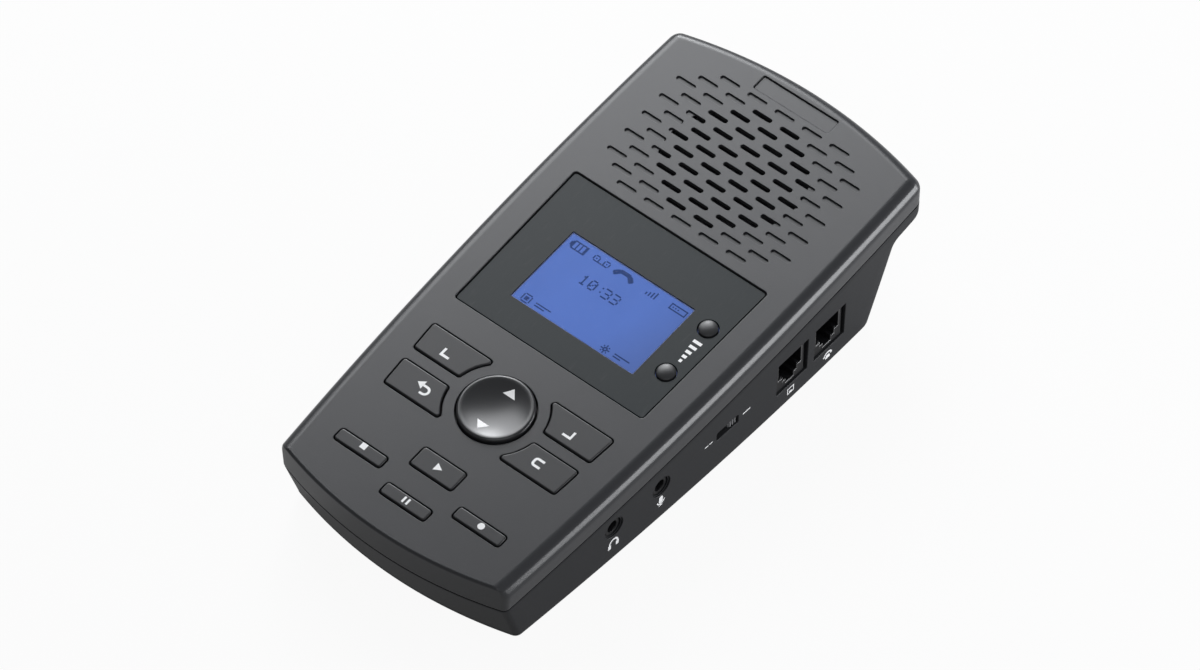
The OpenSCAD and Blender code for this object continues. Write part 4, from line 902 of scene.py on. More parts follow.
def make_looks(scene):
    """Fills LOOKS with one material for each name that the pieces ask for."""
    c = scene.recorder_finish
    g, gd = c.grain, c.grain_depth
    LOOKS.update(
        upper=moulded("upper_plastic", c.upper, 0.3, g, gd, shine=0.45),
        lower=moulded("lower_plastic", c.lower, 0.44, g, gd, shine=0.16),
        # inside: the lower plastic at a third of its brightness, painted shade for gaps, grooves,
        # recesses and inner faces
        inside=moulded("painted_shade_plastic", shade(c.lower, 0.3), 0.6, g, gd, specks=0.0, shine=0.1),
        keys=moulded("key_plastic", c.keys, 0.36, g * 0.8, gd * 0.8, shine=0.4),
        nav=moulded(
            "rocker_plastic", shade(c.keys, 0.95), 0.3, g * 0.7, gd * 0.3, coat=0.35, specks=0.2,
            shine=0.4),
        volume=moulded("volume_plastic", shade(c.keys, 0.9), 0.38, g * 0.7, gd * 0.5),
        window=smooth_plastic("window_plastic", c.window, 0.34, shine=0.2),
        frame=smooth_plastic("picture_frame_plastic", (0.3, 0.38, 0.78), 0.4),
        lens=smooth_plastic("lens_plastic", shade(c.upper, 0.92), 0.34),
        socket=smooth_plastic("socket_plastic", (0.007, 0.007, 0.008), 0.3, shine=0.2),
        # glint: glossier than the socket plastic, which is real, and lighter in colour, which is a
        # painted glint along the mouths' edges
        glint=smooth_plastic("glossy_socket_edge_painted_glint", (0.03, 0.03, 0.031), 0.16, 0.8),
        knob=moulded("knob_plastic", (0.16, 0.16, 0.165), 0.4, g * 0.7, gd * 0.5),
        card=smooth_plastic("card_plastic", (0.014, 0.016, 0.03), 0.4, shine=0.3),
        white=smooth_plastic("white_plastic", (0.75, 0.75, 0.73), 0.45),
        dark=smooth_plastic("dark_plastic", (0.03, 0.03, 0.032), 0.45),
        steel=metal("plated_steel", (0.62, 0.62, 0.63), 0.28, 0.1),
        screw=metal("black_steel", (0.18, 0.18, 0.19), 0.34),
        gold=metal("contact_gold", (0.9, 0.66, 0.28), 0.18),
        board=laminate("board_laminate", (0.012, 0.1, 0.035)),
        magnet=metal("magnet_plating", (0.25, 0.25, 0.26), 0.42),
        cone=paper_cone("cone_paper", (0.012, 0.012, 0.013)),
        mat=rubber("mat_rubber", (0.3, 0.3, 0.32)),
        foot=rubber("foot_rubber", (0.018, 0.018, 0.018)),
        print=ink_print("white_print", c.marks),
        picture=display_light("display_light", c.picture, c.glow),
        ink=display_light("display_ink", c.ink, c.glow),
        clear=clear_cover("clear_cover"),
        wrap=cell_wrap("cell_sleeve"))


NODE_LOOKS = {
    "picture": "lcd_glass",
    "dark": "lcd_frame volume_switches",
    "white": "lcd_backlight board_cable",
    "board": "indicator_board key_board main_board",
    "cone": "speaker_cone",
    "magnet": "speaker_magnet",
    "mat": "keypad_mat",
    "gold": "phone_jack_contacts",
    "steel": "speaker_basket speaker_clips nav_pivot source_switch_body card_socket "
             "battery_contacts board_screws",
}


# Pieces

def upper_shell(sizes):
    """Build the upper shell with its grille and openings"""
    form = Form(as_is)
    depths = [edge_depth(a) for a in EDGE_TURNS_ABOVE]
    depths += [FACET[0] + (FACET[1] - FACET[0]) * share for share in (0.3, 0.7)]
    depths += [edge_depth(a) for a in EDGE_TURNS_BELOW]
    depths += UPPER_WALL_DEPTHS
    rings = [form.ring(deck_ring(upper_outline(d), d)) for d in depths]
    for rise, inset in rounded_edge(sizes.seam_round / MM):
        rings.append(form.ring(deck_ring(upper_outline(SEAM_D, inset), SEAM_D - rise)))
    form.stack(rings)
    inner = [form.ring(deck_ring(upper_outline(max(d, EDGE_R), inset), d)) for d, inset in (
        (SEAM_D, WALL), (EDGE_R + 1, WALL), (DECK_T + 1, WALL + 0.5), (DECK_T, WALL + 1))]
    # The shell's inner faces take the darker inside finish: painted shade.
    form.look = 1
    form.stack([rings[-1]] + inner)
    form.look = 0
    form.place = deck_point
    rounding = sizes.opening_round / MM
    holes, under = [], []
    for shape in [*KEYS.values(), circle_shape(0, NAV_V, NAV_HOLE_R, 96)]:
        # Walls of the key and rocker openings take the darker inside finish: painted shade in the
        # gaps round the keys.
        top, foot = form.rim(shape, 0.0, rounding, -DECK_T, wall_look=1)
        holes.append(top)
        under.append(foot)
    for shape, depth in ((window_shape(), WINDOW_FLOOR), (lamp_shape, LAMP_FLOOR)):
        top, foot = form.rim(shape, 0.0, rounding * 0.8, -depth)
        holes.append(top)
        form.cap(foot[1])
    sound = circle_shape(0, GRILLE_V, SOUND_R, 120)()
    crossing = []
    for u, v in slot_places():
        shape = slot_shape(u, v)
        reach = [hypot(a, b - GRILLE_V) for a, b in shape()]
        through = max(reach) < SOUND_R
        bottom = -SOUND_D if through else -BLIND_D
        top, foot = form.rim(shape, 0.0, sizes.slot_round / MM, bottom, 2)
        holes.append(top)
        if through:
            crossing.append(foot)
        elif min(reach) > SOUND_R:
            form.cap(foot[1])
        else:
            open_part = over_speaker(shape())
            brim, deep = form.ring_at(open_part, -BLIND_D), form.ring_at(open_part, -SOUND_D)
            form.fill(foot, [(open_part, brim)], -BLIND_D)
            form.bridge(brim, deep, True)
            crossing.append((open_part, deep))
    form.fill((upper_outline(0), rings[0]), holes, 0.0)
    ceiling = form.ring_at(sound, -SOUND_D)
    # The underside round the speaker takes the darker inside finish: painted shade.
    form.look = 1
    form.fill((sound, ceiling), crossing, -SOUND_D, True)
    brink = form.ring_at(sound, -DECK_T)
    form.bridge(ceiling, brink, True)
    form.fill((upper_outline(EDGE_R, WALL + 1), inner[-1]), under + [(sound, brink)], -DECK_T, True)
    form.make("upper_shell", "upper inside", "top_shell")


def carve(piece, cutter):
    """Cuts one object out of another for good, and removes the cutter."""
    link(piece)
    link(cutter)
    cut = piece.modifiers.new("cut", "BOOLEAN")
    cut.operation, cut.solver, cut.object = "DIFFERENCE", "MANIFOLD", cutter
    bpy.context.view_layer.update()
    source = piece.evaluated_get(bpy.context.evaluated_depsgraph_get())
    mesh = bpy.data.meshes.new_from_object(source)
    piece.modifiers.clear()
    old, piece.data = piece.data, mesh
    spent = cutter.data
    bpy.data.objects.remove(cutter)
    for data in (old, spent):
        bpy.data.meshes.remove(data)


def wall_place(y0, z0):
    """Frame on the right side wall: u to the back, v up, w outward square to the wall."""
    start = Vector((wall_x(y0, z0), y0 + DECK_Y, z0))
    along = Vector((wall_x(y0 + 1, z0) - wall_x(y0 - 1, z0), 2, 0)).normalized()
    up = Vector((wall_x(y0, z0 + 1) - wall_x(y0, z0 - 1), 0, 2)).normalized()
    out = along.cross(up).normalized()
    return lambda u, v, w: tuple(start + along * u + up * v + out * w)


def side_place(x0, y0):
    """Frame facing +X: u to the back from y0, v up from the table, w outward from x0."""
    return lambda u, v, w: (x0 + w, y0 + DECK_Y + u, v)


def rear_place(x0, y0):
    """Frame facing +Y: u to the left from x0, v up from the table, w outward from y0."""
    return lambda u, v, w: (x0 - u, y0 + DECK_Y + w, v)


def phone_face(y):
    """Front face of a socket that is sunk into the right wall."""
    return wall_x(y, AXIS_Z) - JACK_SINK


def inner_x(y):
    """Inner face of the right wall, with room for its lean."""
    return wall_x(y, AXIS_Z) - WALL - 0.6


POWER_TIP = rear_y(POWER_U + POWER_NOSE_R, POWER_Z - POWER_NOSE_R) - 0.5
DATA_TIP = rear_y(0.0, BOARD_Z) - 0.8
CARD_OUT_X = -wall_x(CARD_Y, CARD_Z) + 0.2


def lower_cutters():
    """Every opening of the lower shell, with its small chamfer, as one cutting form."""
    form = Form()
    for y in PHONE_YS:
        form.place = wall_place(y, AXIS_Z)
        v0, v1 = BOARD_Z - 0.3 - AXIS_Z, BOARD_Z + PHONE_BODY_H + 0.2 - AXIS_Z
        shape = bar_shape(0.35, (v0 + v1) / 2, PHONE_BODY_W + 1.1, v1 - v0, 0.3, 3)
        form.grown(shape, (0.6, 0.45), (0, CHAMFER_W), (0, CUT_W))
    for y in (EAR_Y, MIC_Y):
        form.place = wall_place(y, AXIS_Z)
        form.turned([(4.2, 0.45), (3.6, CHAMFER_W), (3.6, -0.5), (3.15, -0.5), (3.15, CUT_W)])
    form.place = wall_place(SWITCH_Y, AXIS_Z)
    slot = bar_shape(0, 0, SWITCH_TRAVEL + KNOB_W + 0.8, KNOB_H + 0.8, 0.6)
    form.grown(slot, (0.55, 0.4), (0, CHAMFER_W), (0, CUT_W))
    form.place = side_place(0, CARD_Y)
    card = bar_shape(0, CARD_Z + CARD_T / 2, CARD_W + 1, CARD_T + 1, 0.4, 3)
    x_out = -HALF_W - 1
    form.grown(card, (0, x_out + 6), (0, x_out + 1.55), (0.5, x_out))
    form.place = rear_place(POWER_U, POWER_TIP)
    form.turned([(5.0, 6.0), (5.0, 1.0), (4.3, 0.3), (4.3, -5.0)], 0, POWER_Z, 48)
    form.place = rear_place(0, DATA_TIP)
    data = bar_shape(0, BOARD_Z + DATA_H / 2 + 0.05, DATA_W + 1, DATA_H + 0.7, 0.8)
    form.grown(data, (0.5, 6.0), (0.5, 1.3), (0, 0.8), (0, -4.0))
    form.place = base_point
    form.grown(
        bay_shape(0.4), (0, 6.0), (0, LEDGE_Z), (LEDGE_W, LEDGE_Z), (LEDGE_W, SHELL_Z + 0.15),
        (LEDGE_W + 0.4, SHELL_Z - 0.25))
    for x, y in FEET:
        form.turned([
            (FOOT_R + 0.1, SHELL_Z + FOOT_SINK), (FOOT_R + 0.1, SHELL_Z + 0.15),
            (FOOT_R + 0.5, SHELL_Z - 0.25)], x, y, 48)
    form.place = deck_point
    for u, v in CASE_SCREWS:
        low = under_depth(v, -0.6)
        form.turned([(WELL_R, low + 5.0), (WELL_R, low)], u, v)
    return form


def crossing_cutters():
    """Openings that cross others: the finger scoop at the card, and slots for the lid's tabs."""
    form = Form(lambda u, v, w: (u, w + DECK_Y, v))
    scoop = circle_shape(-HALF_W - 1.4, CARD_Z + CARD_T / 2, 3.4, 40)
    form.grown(scoop, (-0.4, CARD_Y + 5), (0, CARD_Y + 4.4), (0, CARD_Y - 4.4), (-0.4, CARD_Y - 5))
    form.place = base_point
    for x in TAB_XS:
        form.box(
            x - TAB_W / 2 - 0.4, x + TAB_W / 2 + 0.4, BAY_Y1 - 0.3, BAY_Y1 + LEDGE_W + TAB_L + 0.5,
            LEDGE_Z - 0.05, SHELL_Z + FLOOR_T + 0.4)
    return form


def under_depth(v, above):
    """Height in the deck's frame of what lies this far above the lower shell's underside."""
    return -((DECK_H + v * SIN - SHELL_Z - above) / COS)


def lower_shell(sizes):
    """Build the lower shell and carve its sockets"""
    form = Form(as_is)
    rings = []
    for inset, up in rounded_edge(BASE_EDGE_R, 6):
        back = BASE_BACK_IN + BASE_BACK_SWEEP * (inset / BASE_EDGE_R) ** 0.8
        rings.append(form.ring(flat_ring(base_outline(back, inset), SHELL_Z + up)))
    for k in range(1, 8):
        back = BASE_BACK_IN + (LIP_BACK_IN - BASE_BACK_IN) * k / 7
        rings.append(form.ring(lower_ring(BEND_T * k / 7, back, 0)))
    # Underside of the lip: a curve out from the rear wall, then the lip's rounded foot
    per_mm = (1 - LIP_T) / LIP_H
    curve = list(zip((LIP_BACK_IN, -BEND_DROP_T / per_mm), LIP_CURVE_MID, LIP_CURVE_END))
    lip = [
        [a * (1 - s) ** 2 + 2 * b * s * (1 - s) + c * s * s for a, b, c in curve]
        for s in (k / 7 for k in range(1, 8))]
    rings += [form.ring(lower_ring(LIP_T + h * per_mm, back, 0)) for back, h in lip + LIP_FOOT]
    step_t = 1 - SEAM_STEP_H * per_mm
    for rise, inset in rounded_edge(sizes.seam_round / MM):
        rings.append(form.ring(lower_ring(step_t - rise * per_mm, 0, inset)))
    form.stack(rings, True)
    form.cap(rings[0], True)
    # The inner faces and the groove under the seam take the darker inside finish: painted shade
    # that darkens the groove into a black line.
    form.look = 1
    inner = [form.ring(lower_ring(t, back, WALL)) for t, back in (
        (1, 0.3), (LIP_T + 0.085, 0.3), (LIP_T + 0.07, LIP_BACK_IN - 1),
        (BEND_T, LIP_BACK_IN + 0.4))]
    inner.append(form.ring(flat_ring(base_outline(BASE_BACK_IN + 0.4, WALL), SHELL_Z + FLOOR_T)))
    step = [form.ring(lower_ring(t, 0, SEAM_STEP_IN)) for t in (step_t, 1)]
    form.stack([rings[-1]] + step + inner, True)
    form.cap(inner[-1])
    looks = "lower inside"
    piece = bpy.data.objects.new("lower_shell", form.mesh("lower_shell", looks, recalc=True))
    for cutters in (lower_cutters, crossing_cutters):
        carve(piece, bpy.data.objects.new("cutter", cutters().mesh("cutter", looks, recalc=True)))
    extra = lower_fittings().mesh("lower_fittings", looks)
    work = bmesh.new()
    work.from_mesh(piece.data)
    work.from_mesh(extra)
    work.to_mesh(piece.data)
    work.free()
    bpy.data.meshes.remove(extra)
    keep_flats(piece.data, LOWER_SHARP_ANGLE)
    settle(piece, "bottom_shell")


def lower_fittings():
    """Walls of the battery bay, ribs between the cells, and screw wells that stand on the floor."""
    form = Form(base_point)
    # The bay walls, ribs and screw wells take the darker inside finish: painted shade.
    form.look = 1
    bay = bay_shape(0.4)
    top, low = BAY_TOP + BAY_WALL, SHELL_Z + FLOOR_T + 0.05
    outer = [form.ring_at(bay(BAY_WALL), z) for z in (top, low)]
    hollow = [form.ring_at(bay(0), z) for z in (low, BAY_TOP)]
    form.stack(outer + hollow)
    form.cap(outer[0])
    form.cap(hollow[-1], True)
    for i in range(1, 4):
        x = BAY_X0 + CELL_GAP / 2 + i * (CELL_D + CELL_GAP)
        form.box(x - 0.35, x + 0.35, BAY_Y0 + 1.6, BAY_Y1 - 1.6, BAY_TOP - 4.5, BAY_TOP, 0.15)
    form.place = deck_point
    for u, v in CASE_SCREWS:
        foot = under_depth(v, 1.1)
        form.lathe([
            (BORE_R, -LOW_SEAM_D), (POST_R, -LOW_SEAM_D), (POST_R, foot), (WELL_R, foot),
            (WELL_R, -HEAD_D), (BORE_R, -HEAD_D), (BORE_R, -LOW_SEAM_D)], u, v, 40)
    return form


def display(sizes):
    """Build the window, the picture and the volume marks"""
    form = Form()
    shape = window_shape()
    levels = edge_levels(shape, -WINDOW_SINK, 0.2, inset=WINDOW_GAP)
    levels.append((shape(-WINDOW_GAP), -WINDOW_FLOOR + 0.02))
    rings = [form.ring_at(loop, w) for loop, w in levels]
    form.stack(rings)
    form.cap(rings[-1], True)
    holes = []
    for v in (VOLUME_V0, VOLUME_V1):
        hole = circle_shape(VOLUME_U, v, VOLUME_HOLE_R, 64)
        top, foot = form.rim(hole, -WINDOW_SINK, 0.15, -WINDOW_FLOOR + 0.05)
        holes.append(top)
        form.look = 1
        form.cap(foot[1])
        form.look = 0
    sill = -WINDOW_SINK - sizes.picture_depth / MM
    frame_shape = bar_shape(0, LCD_V, LCD_W, LCD_H, 0.25, 3)
    top, foot = form.rim(frame_shape, -WINDOW_SINK, 0.05, sill, 2)
    holes.append(top)
    form.fill((levels[0][0], rings[0]), holes, -WINDOW_SINK)
    form.look = 1
    form.cap(foot[1])
    form.make("display_window", "window frame", "display_window")
    picture = Form()
    picture.plate(bar_shape(0, LCD_V, LCD_W - 0.8, LCD_H - 0.8, 0.2, 3)(), sill + 0.01, sill + 0.12)
    picture.make("display_picture", "picture")
    ink = Form()
    display_ink(ink, sill + 0.12, sill + 0.14)
    ink.make("display_marks", "ink")
    cover = Form()
    cover.plate(frame_shape(-0.02), -WINDOW_SINK - 0.22, -WINDOW_SINK - 0.02)
    cover.make("display_cover", "clear")
    marks = Form()
    low, high = -WINDOW_SINK - 0.01, -WINDOW_SINK + sizes.print_height / MM
    for v, w in ((-0.6, 0.9), (1.1, 1.4), (2.9, 1.9), (4.8, 2.4), (6.8, 2.9)):
        marks.plate(rect(VOLUME_U + 0.6, v, w, 1.0), low, high)
    marks.make("volume_marks", "print")


DIGITS = {
    "0": "01110 10001 10011 10101 11001 10001 01110",
    "1": "00100 01100 00100 00100 00100 00100 01110",
    "3": "11110 00001 00001 01110 00001 00001 11110",
    ":": "00000 00100 00000 00000 00100 00000 00000",
}

# Signs on the display: place from the left, place from the top or bottom, size, rows of points
TOP_SIGNS = [
    (0.0, 0.0, 1.0,
     "0011111111111 0110010010011 1110010010011 1110010010011 1110010010011 0110010010011 "
     "0011111111111"),
    (8.2, -0.3, 1.0, "0111000001110 1000100010001 1010100010101 1000100010001 0111111111110"),
    (15.5, 0.0, 1.0,
     "0000111111110000 0011111111111100 0111111111111110 1111100000011111 1111000000001111 "
     "0110000000000110"),
    (35.4, -0.2, 1.0, "1111111111111 1000000000001 1010101000001 1000000000001 1111111111111"),
    (26.8, -0.2, 1.1, "00000001 00000101 00010101 01010101 01010101"),
]
BOTTOM_SIGNS = [
    (1.0, 0.0, 1.0, "0111110 1000001 1011101 1011101 1011101 1000001 0111110"),
    (5.6, -0.9, 1.0, "111111111111 000000000000 111111110000"),
    (29.0, 0.0, 1.0, "0001000 0101010 0011100 1110111 0011100 0101010 0001000"),
    (33.6, -0.9, 1.0, "111111111111 000000000000 111111000000"),
]


def dots(form, rows, u0, v0, pitch, low, high):
    """Picture points of one sign, each run of a row as one plate; the first row is the top one."""
    for j, row in enumerate(rows.split()):
        start = None
        for i, cell in enumerate(row + "0"):
            if cell == "1" and start is None:
                start = i
            elif cell != "1" and start is not None:
                w, h = (i - start) * pitch - DOT_GAP, pitch - DOT_GAP
                u, v = u0 + start * pitch + w / 2, v0 - j * pitch - h / 2
                form.plate(rect(u, v, w, h), low, high)
                start = None


def display_ink(form, low, high):
    """A clock in the middle, and small signs along the top and the bottom."""
    u = CLOCK_U
    for sign in "10:33":
        dots(form, DIGITS[sign], u, LCD_V + 4.6, CLOCK_PITCH, low, high)
        u += CLOCK_PITCH * (4.2 if sign == ":" else 6)
    left = -LCD_W / 2 + 1.6
    for edge, signs in (
            (LCD_V + LCD_H / 2 - 1.6, TOP_SIGNS), (LCD_V - LCD_H / 2 + 3.6, BOTTOM_SIGNS)):
        for du, dv, size, rows in signs:
            dots(form, rows, left + du, edge + dv, SIGN_PITCH * size, low, high)


def key_levels(shape, rounding):
    return edge_levels(shape, KEY_UP, rounding, 4, KEY_GAP) + [
        (shape(-KEY_GAP), -FLANGE_D), (shape(FLANGE), -FLANGE_D), (shape(FLANGE), -FLANGE_D - 1.0)]


def stroke(points, width):
    """Outline of a line of constant width through points, with square ends."""
    left, right = [], []
    n = len(points)
    for i, (x, y) in enumerate(points):
        xa, ya = points[max(0, i - 1)]
        xb, yb = points[min(n - 1, i + 1)]
        d = hypot(xb - xa, yb - ya)
        nx, ny = -(yb - ya) / d, (xb - xa) / d
        scale = 1.0
        if 0 < i < n - 1:
            d0 = hypot(x - xa, y - ya)
            scale = 1 / max(0.5, abs((x - xa) / d0 * (xb - xa) / d + (y - ya) / d0 * (yb - ya) / d))
        left.append((x + nx * width / 2 * scale, y + ny * width / 2 * scale))
        right.append((x - nx * width / 2 * scale, y - ny * width / 2 * scale))
    return right + left[::-1]


def key_marks():
    """White signs of the keys as outlines in the deck's plan."""
    # Places of the signs on the clear key, the soft keys and the back key
    cu, cv = 20.5, -50.7
    lu, lv = 22.4, -38.2
    bu, bv = -20.3, -50.9
    corner = [(-1.35, 1.35), (-1.35, -1.0), (1.35, -1.0)]
    return {
        "key_soft_left": [stroke([(-lu + x, lv + y) for x, y in corner], KEY_LINE_W)],
        "key_soft_right": [stroke([(lu - 1.5 - x, lv + y) for x, y in corner][::-1], KEY_LINE_W)],
        "key_back": [
            [(bu - 2.6, bv + 0.9), (bu - 0.5, bv - 0.55), (bu - 0.5, bv + 2.35)],
            stroke([(bu - 0.6, bv + 0.9), (bu + 0.9, bv + 0.9)]
                   + arc((bu + 0.9, bv - 0.35), 1.25, pi / 2, -pi / 2, 10)[1:]
                   + [(bu - 0.1, bv - 1.6)], KEY_LINE_W),
        ],
        "key_clear": [stroke(
            [(cu + 1.5, cv + 1.15), (cu - 0.55, cv + 1.15)]
            + arc((cu - 0.55, cv + 0.4), 0.75, pi / 2, pi, 4)[1:]
            + arc((cu - 0.55, cv - 0.4), 0.75, pi, 1.5 * pi, 4)
            + [(cu + 1.5, cv - 1.15)], KEY_LINE_W)],
        "key_stop": [rect(-SIDE_KEY_U + 0.4, SIDE_KEY_V + 0.8, 1.9, 1.9)],
        "key_record": [circle_shape(SIDE_KEY_U + 0.4, SIDE_KEY_V + 0.3, 1.05, 28)()],
        "key_play": [[(-0.95, PLAY_V - 1.2), (1.35, PLAY_V + 0.1), (-0.95, PLAY_V + 1.4)]],
        "key_pause": [rect(u, PAUSE_V + 0.15, 0.65, 2.0) for u in (-0.725, 0.675)],
    }


def stem_profile(top, foot):
    """Round stem with a chamfered end."""
    return [(0, top), (STEM_R, top), (STEM_R, foot + 0.3), (STEM_R - 0.3, foot), (0, foot)]


def keys(sizes):
    """Build the eight keys and their signs"""
    marks = key_marks()
    for node, shape in KEYS.items():
        form = Form()
        form.solid(key_levels(shape, sizes.key_round / MM))
        form.lathe(stem_profile(-3.4, -STEM_D), *KEY_STEMS[node], 32)
        form.look = 1
        for loop in marks[node]:
            form.plate(loop, KEY_UP - 0.01, KEY_UP + sizes.print_height / MM)
        form.make(node + "_cap", "keys print", node, node + "_body")


def rocker(sizes):
    """Build the dished rocker"""
    chord = NAV_R - 1.2
    dish_r = (chord ** 2 + NAV_DISH ** 2) / (2 * NAV_DISH)
    base_w = NAV_UP - NAV_DISH
    edge_r = 0.75

    def dish(r):
        return base_w + dish_r - sqrt(dish_r ** 2 - r * r)
    end = chord * 0.97
    start, crown = dish(end), NAV_R - edge_r
    profile = [(0, base_w)] + [(end * k / 22, dish(end * k / 22)) for k in range(1, 23)]
    profile += [
        (end + (crown - end) * s, start + (NAV_UP - start) * (1 - (1 - s) ** 2))
        for s in (0.3, 0.55, 0.8)]
    profile += [(NAV_R - back, NAV_UP - down) for back, down in rounded_edge(edge_r, 8)]
    rim_r = NAV_HOLE_R + FLANGE
    flange_d = FLANGE_D + rim_r * sin(radians(NAV_SWING))
    profile += [(NAV_R, -flange_d), (rim_r, -flange_d), (rim_r, -flange_d - 1), (0, -flange_d - 1)]
    form = Form()
    form.lathe(profile, 0, NAV_V, 128)
    root = -flange_d - 0.9
    for s in (-1, 1):
        form.lathe(stem_profile(root, -6.8), 0, NAV_V + s * 7, 32)
    form.block(0, NAV_V, 5, 4, -6.2, root, 0.2)
    form.look = 1

    def lift(u, v):
        return dish(hypot(u, v - NAV_V)) + sizes.print_height / MM
    rows = 5
    for s in (-1, 1):
        v0 = NAV_V + s * 6.6
        tri = [(-2.1, v0 - s * 1.25), (2.1, v0 - s * 1.25), (0, v0 + s * 1.35)][::s]
        loop = [
            (a[0] + (b[0] - a[0]) * k / rows, a[1] + (b[1] - a[1]) * k / rows)
            for a, b in zip(tri, tri[1:] + tri[:1]) for k in range(rows)]
        cu, cv = (sum(p[i] for p in loop) / len(loop) for i in (0, 1))
        halfway = [(u + (cu - u) * 0.5, v + (cv - v) * 0.5) for u, v in loop]
        top = form.ring([(u, v, lift(u, v)) for u, v in loop])
        form.bridge(top, form.ring([(u, v, lift(u, v) - 0.06) for u, v in loop]))
        half = form.ring([(u, v, lift(u, v)) for u, v in halfway])
        form.bridge(half, top)
        mid = form.ring([(cu, cv, lift(cu, cv))])[0]
        for i in range(len(half)):
            form.face((mid, half[i], half[(i + 1) % len(half)]))
    form.make("rocker", "nav print", "nav_rocker", "nav_body")


def volume_keys(sizes):
    """Build the two domed volume keys"""
    r, dome, top, flange, foot = VOLUME_HOLE_R - KEY_GAP, 7.0, 0.5, -3.7, -4.5
    profile = [(0, top)]
    for x in (r * 0.93 * k / 10 for k in range(1, 11)):
        profile.append((x, top - dome + sqrt(dome ** 2 - x * x)))
    last = profile[-1][1]
    profile += [
        (r * 0.975, last - 0.08), (r, last - 0.25), (r, flange), (r + 0.5, flange), (r + 0.5, foot),
        (0, foot)]
    for node, v in (("key_volume_up", VOLUME_V1), ("key_volume_down", VOLUME_V0)):
        form = Form()
        form.lathe(profile, VOLUME_U, v, 72)
        form.make(node + "_cap", "volume", node, node + "_body")


lamp_shape = bar_shape(0, LAMP_V, LAMP_W, LAMP_H, 0.6)


def indicator(sizes):
    """Build the indicator lens"""
    form = Form()
    levels = edge_levels(lamp_shape, -LAMP_SINK, 0.12, inset=LAMP_GAP)
    form.solid(levels + [(lamp_shape(-LAMP_GAP), -LAMP_FLOOR + 0.02)])
    form.block(0, LAMP_V, 8, 2.4, -4.8, -1.85, 0.15)
    form.make("indicator_lens_piece", "lens", "indicator_lens")


def step_mouth(grow=0.0):
    """Mouth of a modular phone socket with its two latch steps, centred on its width."""
    z1 = PHONE_TOP_Z + grow
    z0 = PHONE_TOP_Z - PHONE_H - grow
    w0, w1, w2 = PHONE_W / 2 + grow, 3.1 + grow, 1.7 + grow
    n1, n2 = z0 - PHONE_NOTCH, z0 - 2 * PHONE_NOTCH
    half = [(w2, n2), (w2, n1), (w1, n1), (w1, z0), (w0, z0), (w0, z1)]
    return [(-w2, n2)] + half + [(-u, z) for u, z in half[:0:-1]]


def phone_sockets(sizes):
    """Build the two stepped phone sockets"""
    for name, y in zip(("phone_jack_line", "phone_jack_handset"), PHONE_YS):
        form = Form(side_place(phone_face(y), y))
        body = bar_shape(0, BOARD_Z + PHONE_BODY_H / 2, PHONE_BODY_W, PHONE_BODY_H, 0.35, 3)
        levels = edge_levels(body, 0.0, 0.25, 2) + [(body(0), -PHONE_BODY_L)]
        rings = [form.ring_at(loop, w) for loop, w in levels]
        form.stack(rings)
        form.cap(rings[-1], True)
        # The mouth's rounded edge takes the glint finish: real gloss, and a painted glint from its
        # lighter colour.
        form.look = 1
        top, foot = form.rim(step_mouth, 0.0, 0.3, -PHONE_D, 3)
        form.fill((levels[0][0], rings[0]), [top], 0.0)
        form.cap(foot[1])
        # Comb that parts the wires, and the latch shoulders
        for k in range(-3, 4):
            form.block(k * 1.02, PHONE_TOP_Z - 0.49, 0.34, 1.02, -11.9, -6.5)
        for s in (-1, 1):
            form.block(s * 3.6, PHONE_TOP_Z - PHONE_H + 0.215, 0.9, 0.47, -4.0, -0.35, 0.12, 2)
        form.make(name + "_socket", "socket glint", name)


def plug_sockets(sizes):
    """Build the earphone and microphone sockets"""
    for name, y in (("earphone_jack", EAR_Y), ("microphone_jack", MIC_Y)):
        tip = phone_face(y)
        form = Form(lambda u, v, w, y=y, tip=tip: (tip + w, y + DECK_Y + u, AXIS_Z + v))
        back, root = JACK_BACK_X - tip, inner_x(y) - tip
        form.lathe([
            (PLUG_R, back + 1.0), (PLUG_R, -0.35), (PLUG_R + 0.1, -0.12), (PLUG_R + 0.3, 0.0),
            (NOSE_R - 0.25, 0.0), (NOSE_R - 0.07, -0.07), (NOSE_R, -0.25),
            (NOSE_R, root + 0.1)], n=56)
        form.look = 1
        form.lathe([
            (PLUG_R + 0.02, -2.2), (PLUG_R - 0.12, -2.4), (PLUG_R - 0.12, -3.4),
            (PLUG_R + 0.02, -3.6)], n=48)
        form.look = 0
        form.box(-JACK_W / 2, JACK_W / 2, BOARD_Z - AXIS_Z, 3.4, back, root, 0.3)
        form.make(name + "_socket", "socket steel", name)


def slide_switch(sizes):
    """Build the ribbed knob of the slide switch"""
    out = wall_x(SWITCH_Y, AXIS_Z) - 0.3
    form = Form(side_place(0, SWITCH_Y + SWITCH_TRAVEL / 2))
    form.block(0, AXIS_Z, KNOB_W, KNOB_H, inner_x(SWITCH_Y) - 2.7, out - 0.35, 0.25)
    for k in (-1, 0, 1):
        form.block(k * 1.05, AXIS_Z, 0.56, KNOB_H - 0.3, out - 0.8, out, 0.18)
    form.make("slide_knob", "knob", "source_switch_knob", "switch_knob_body")


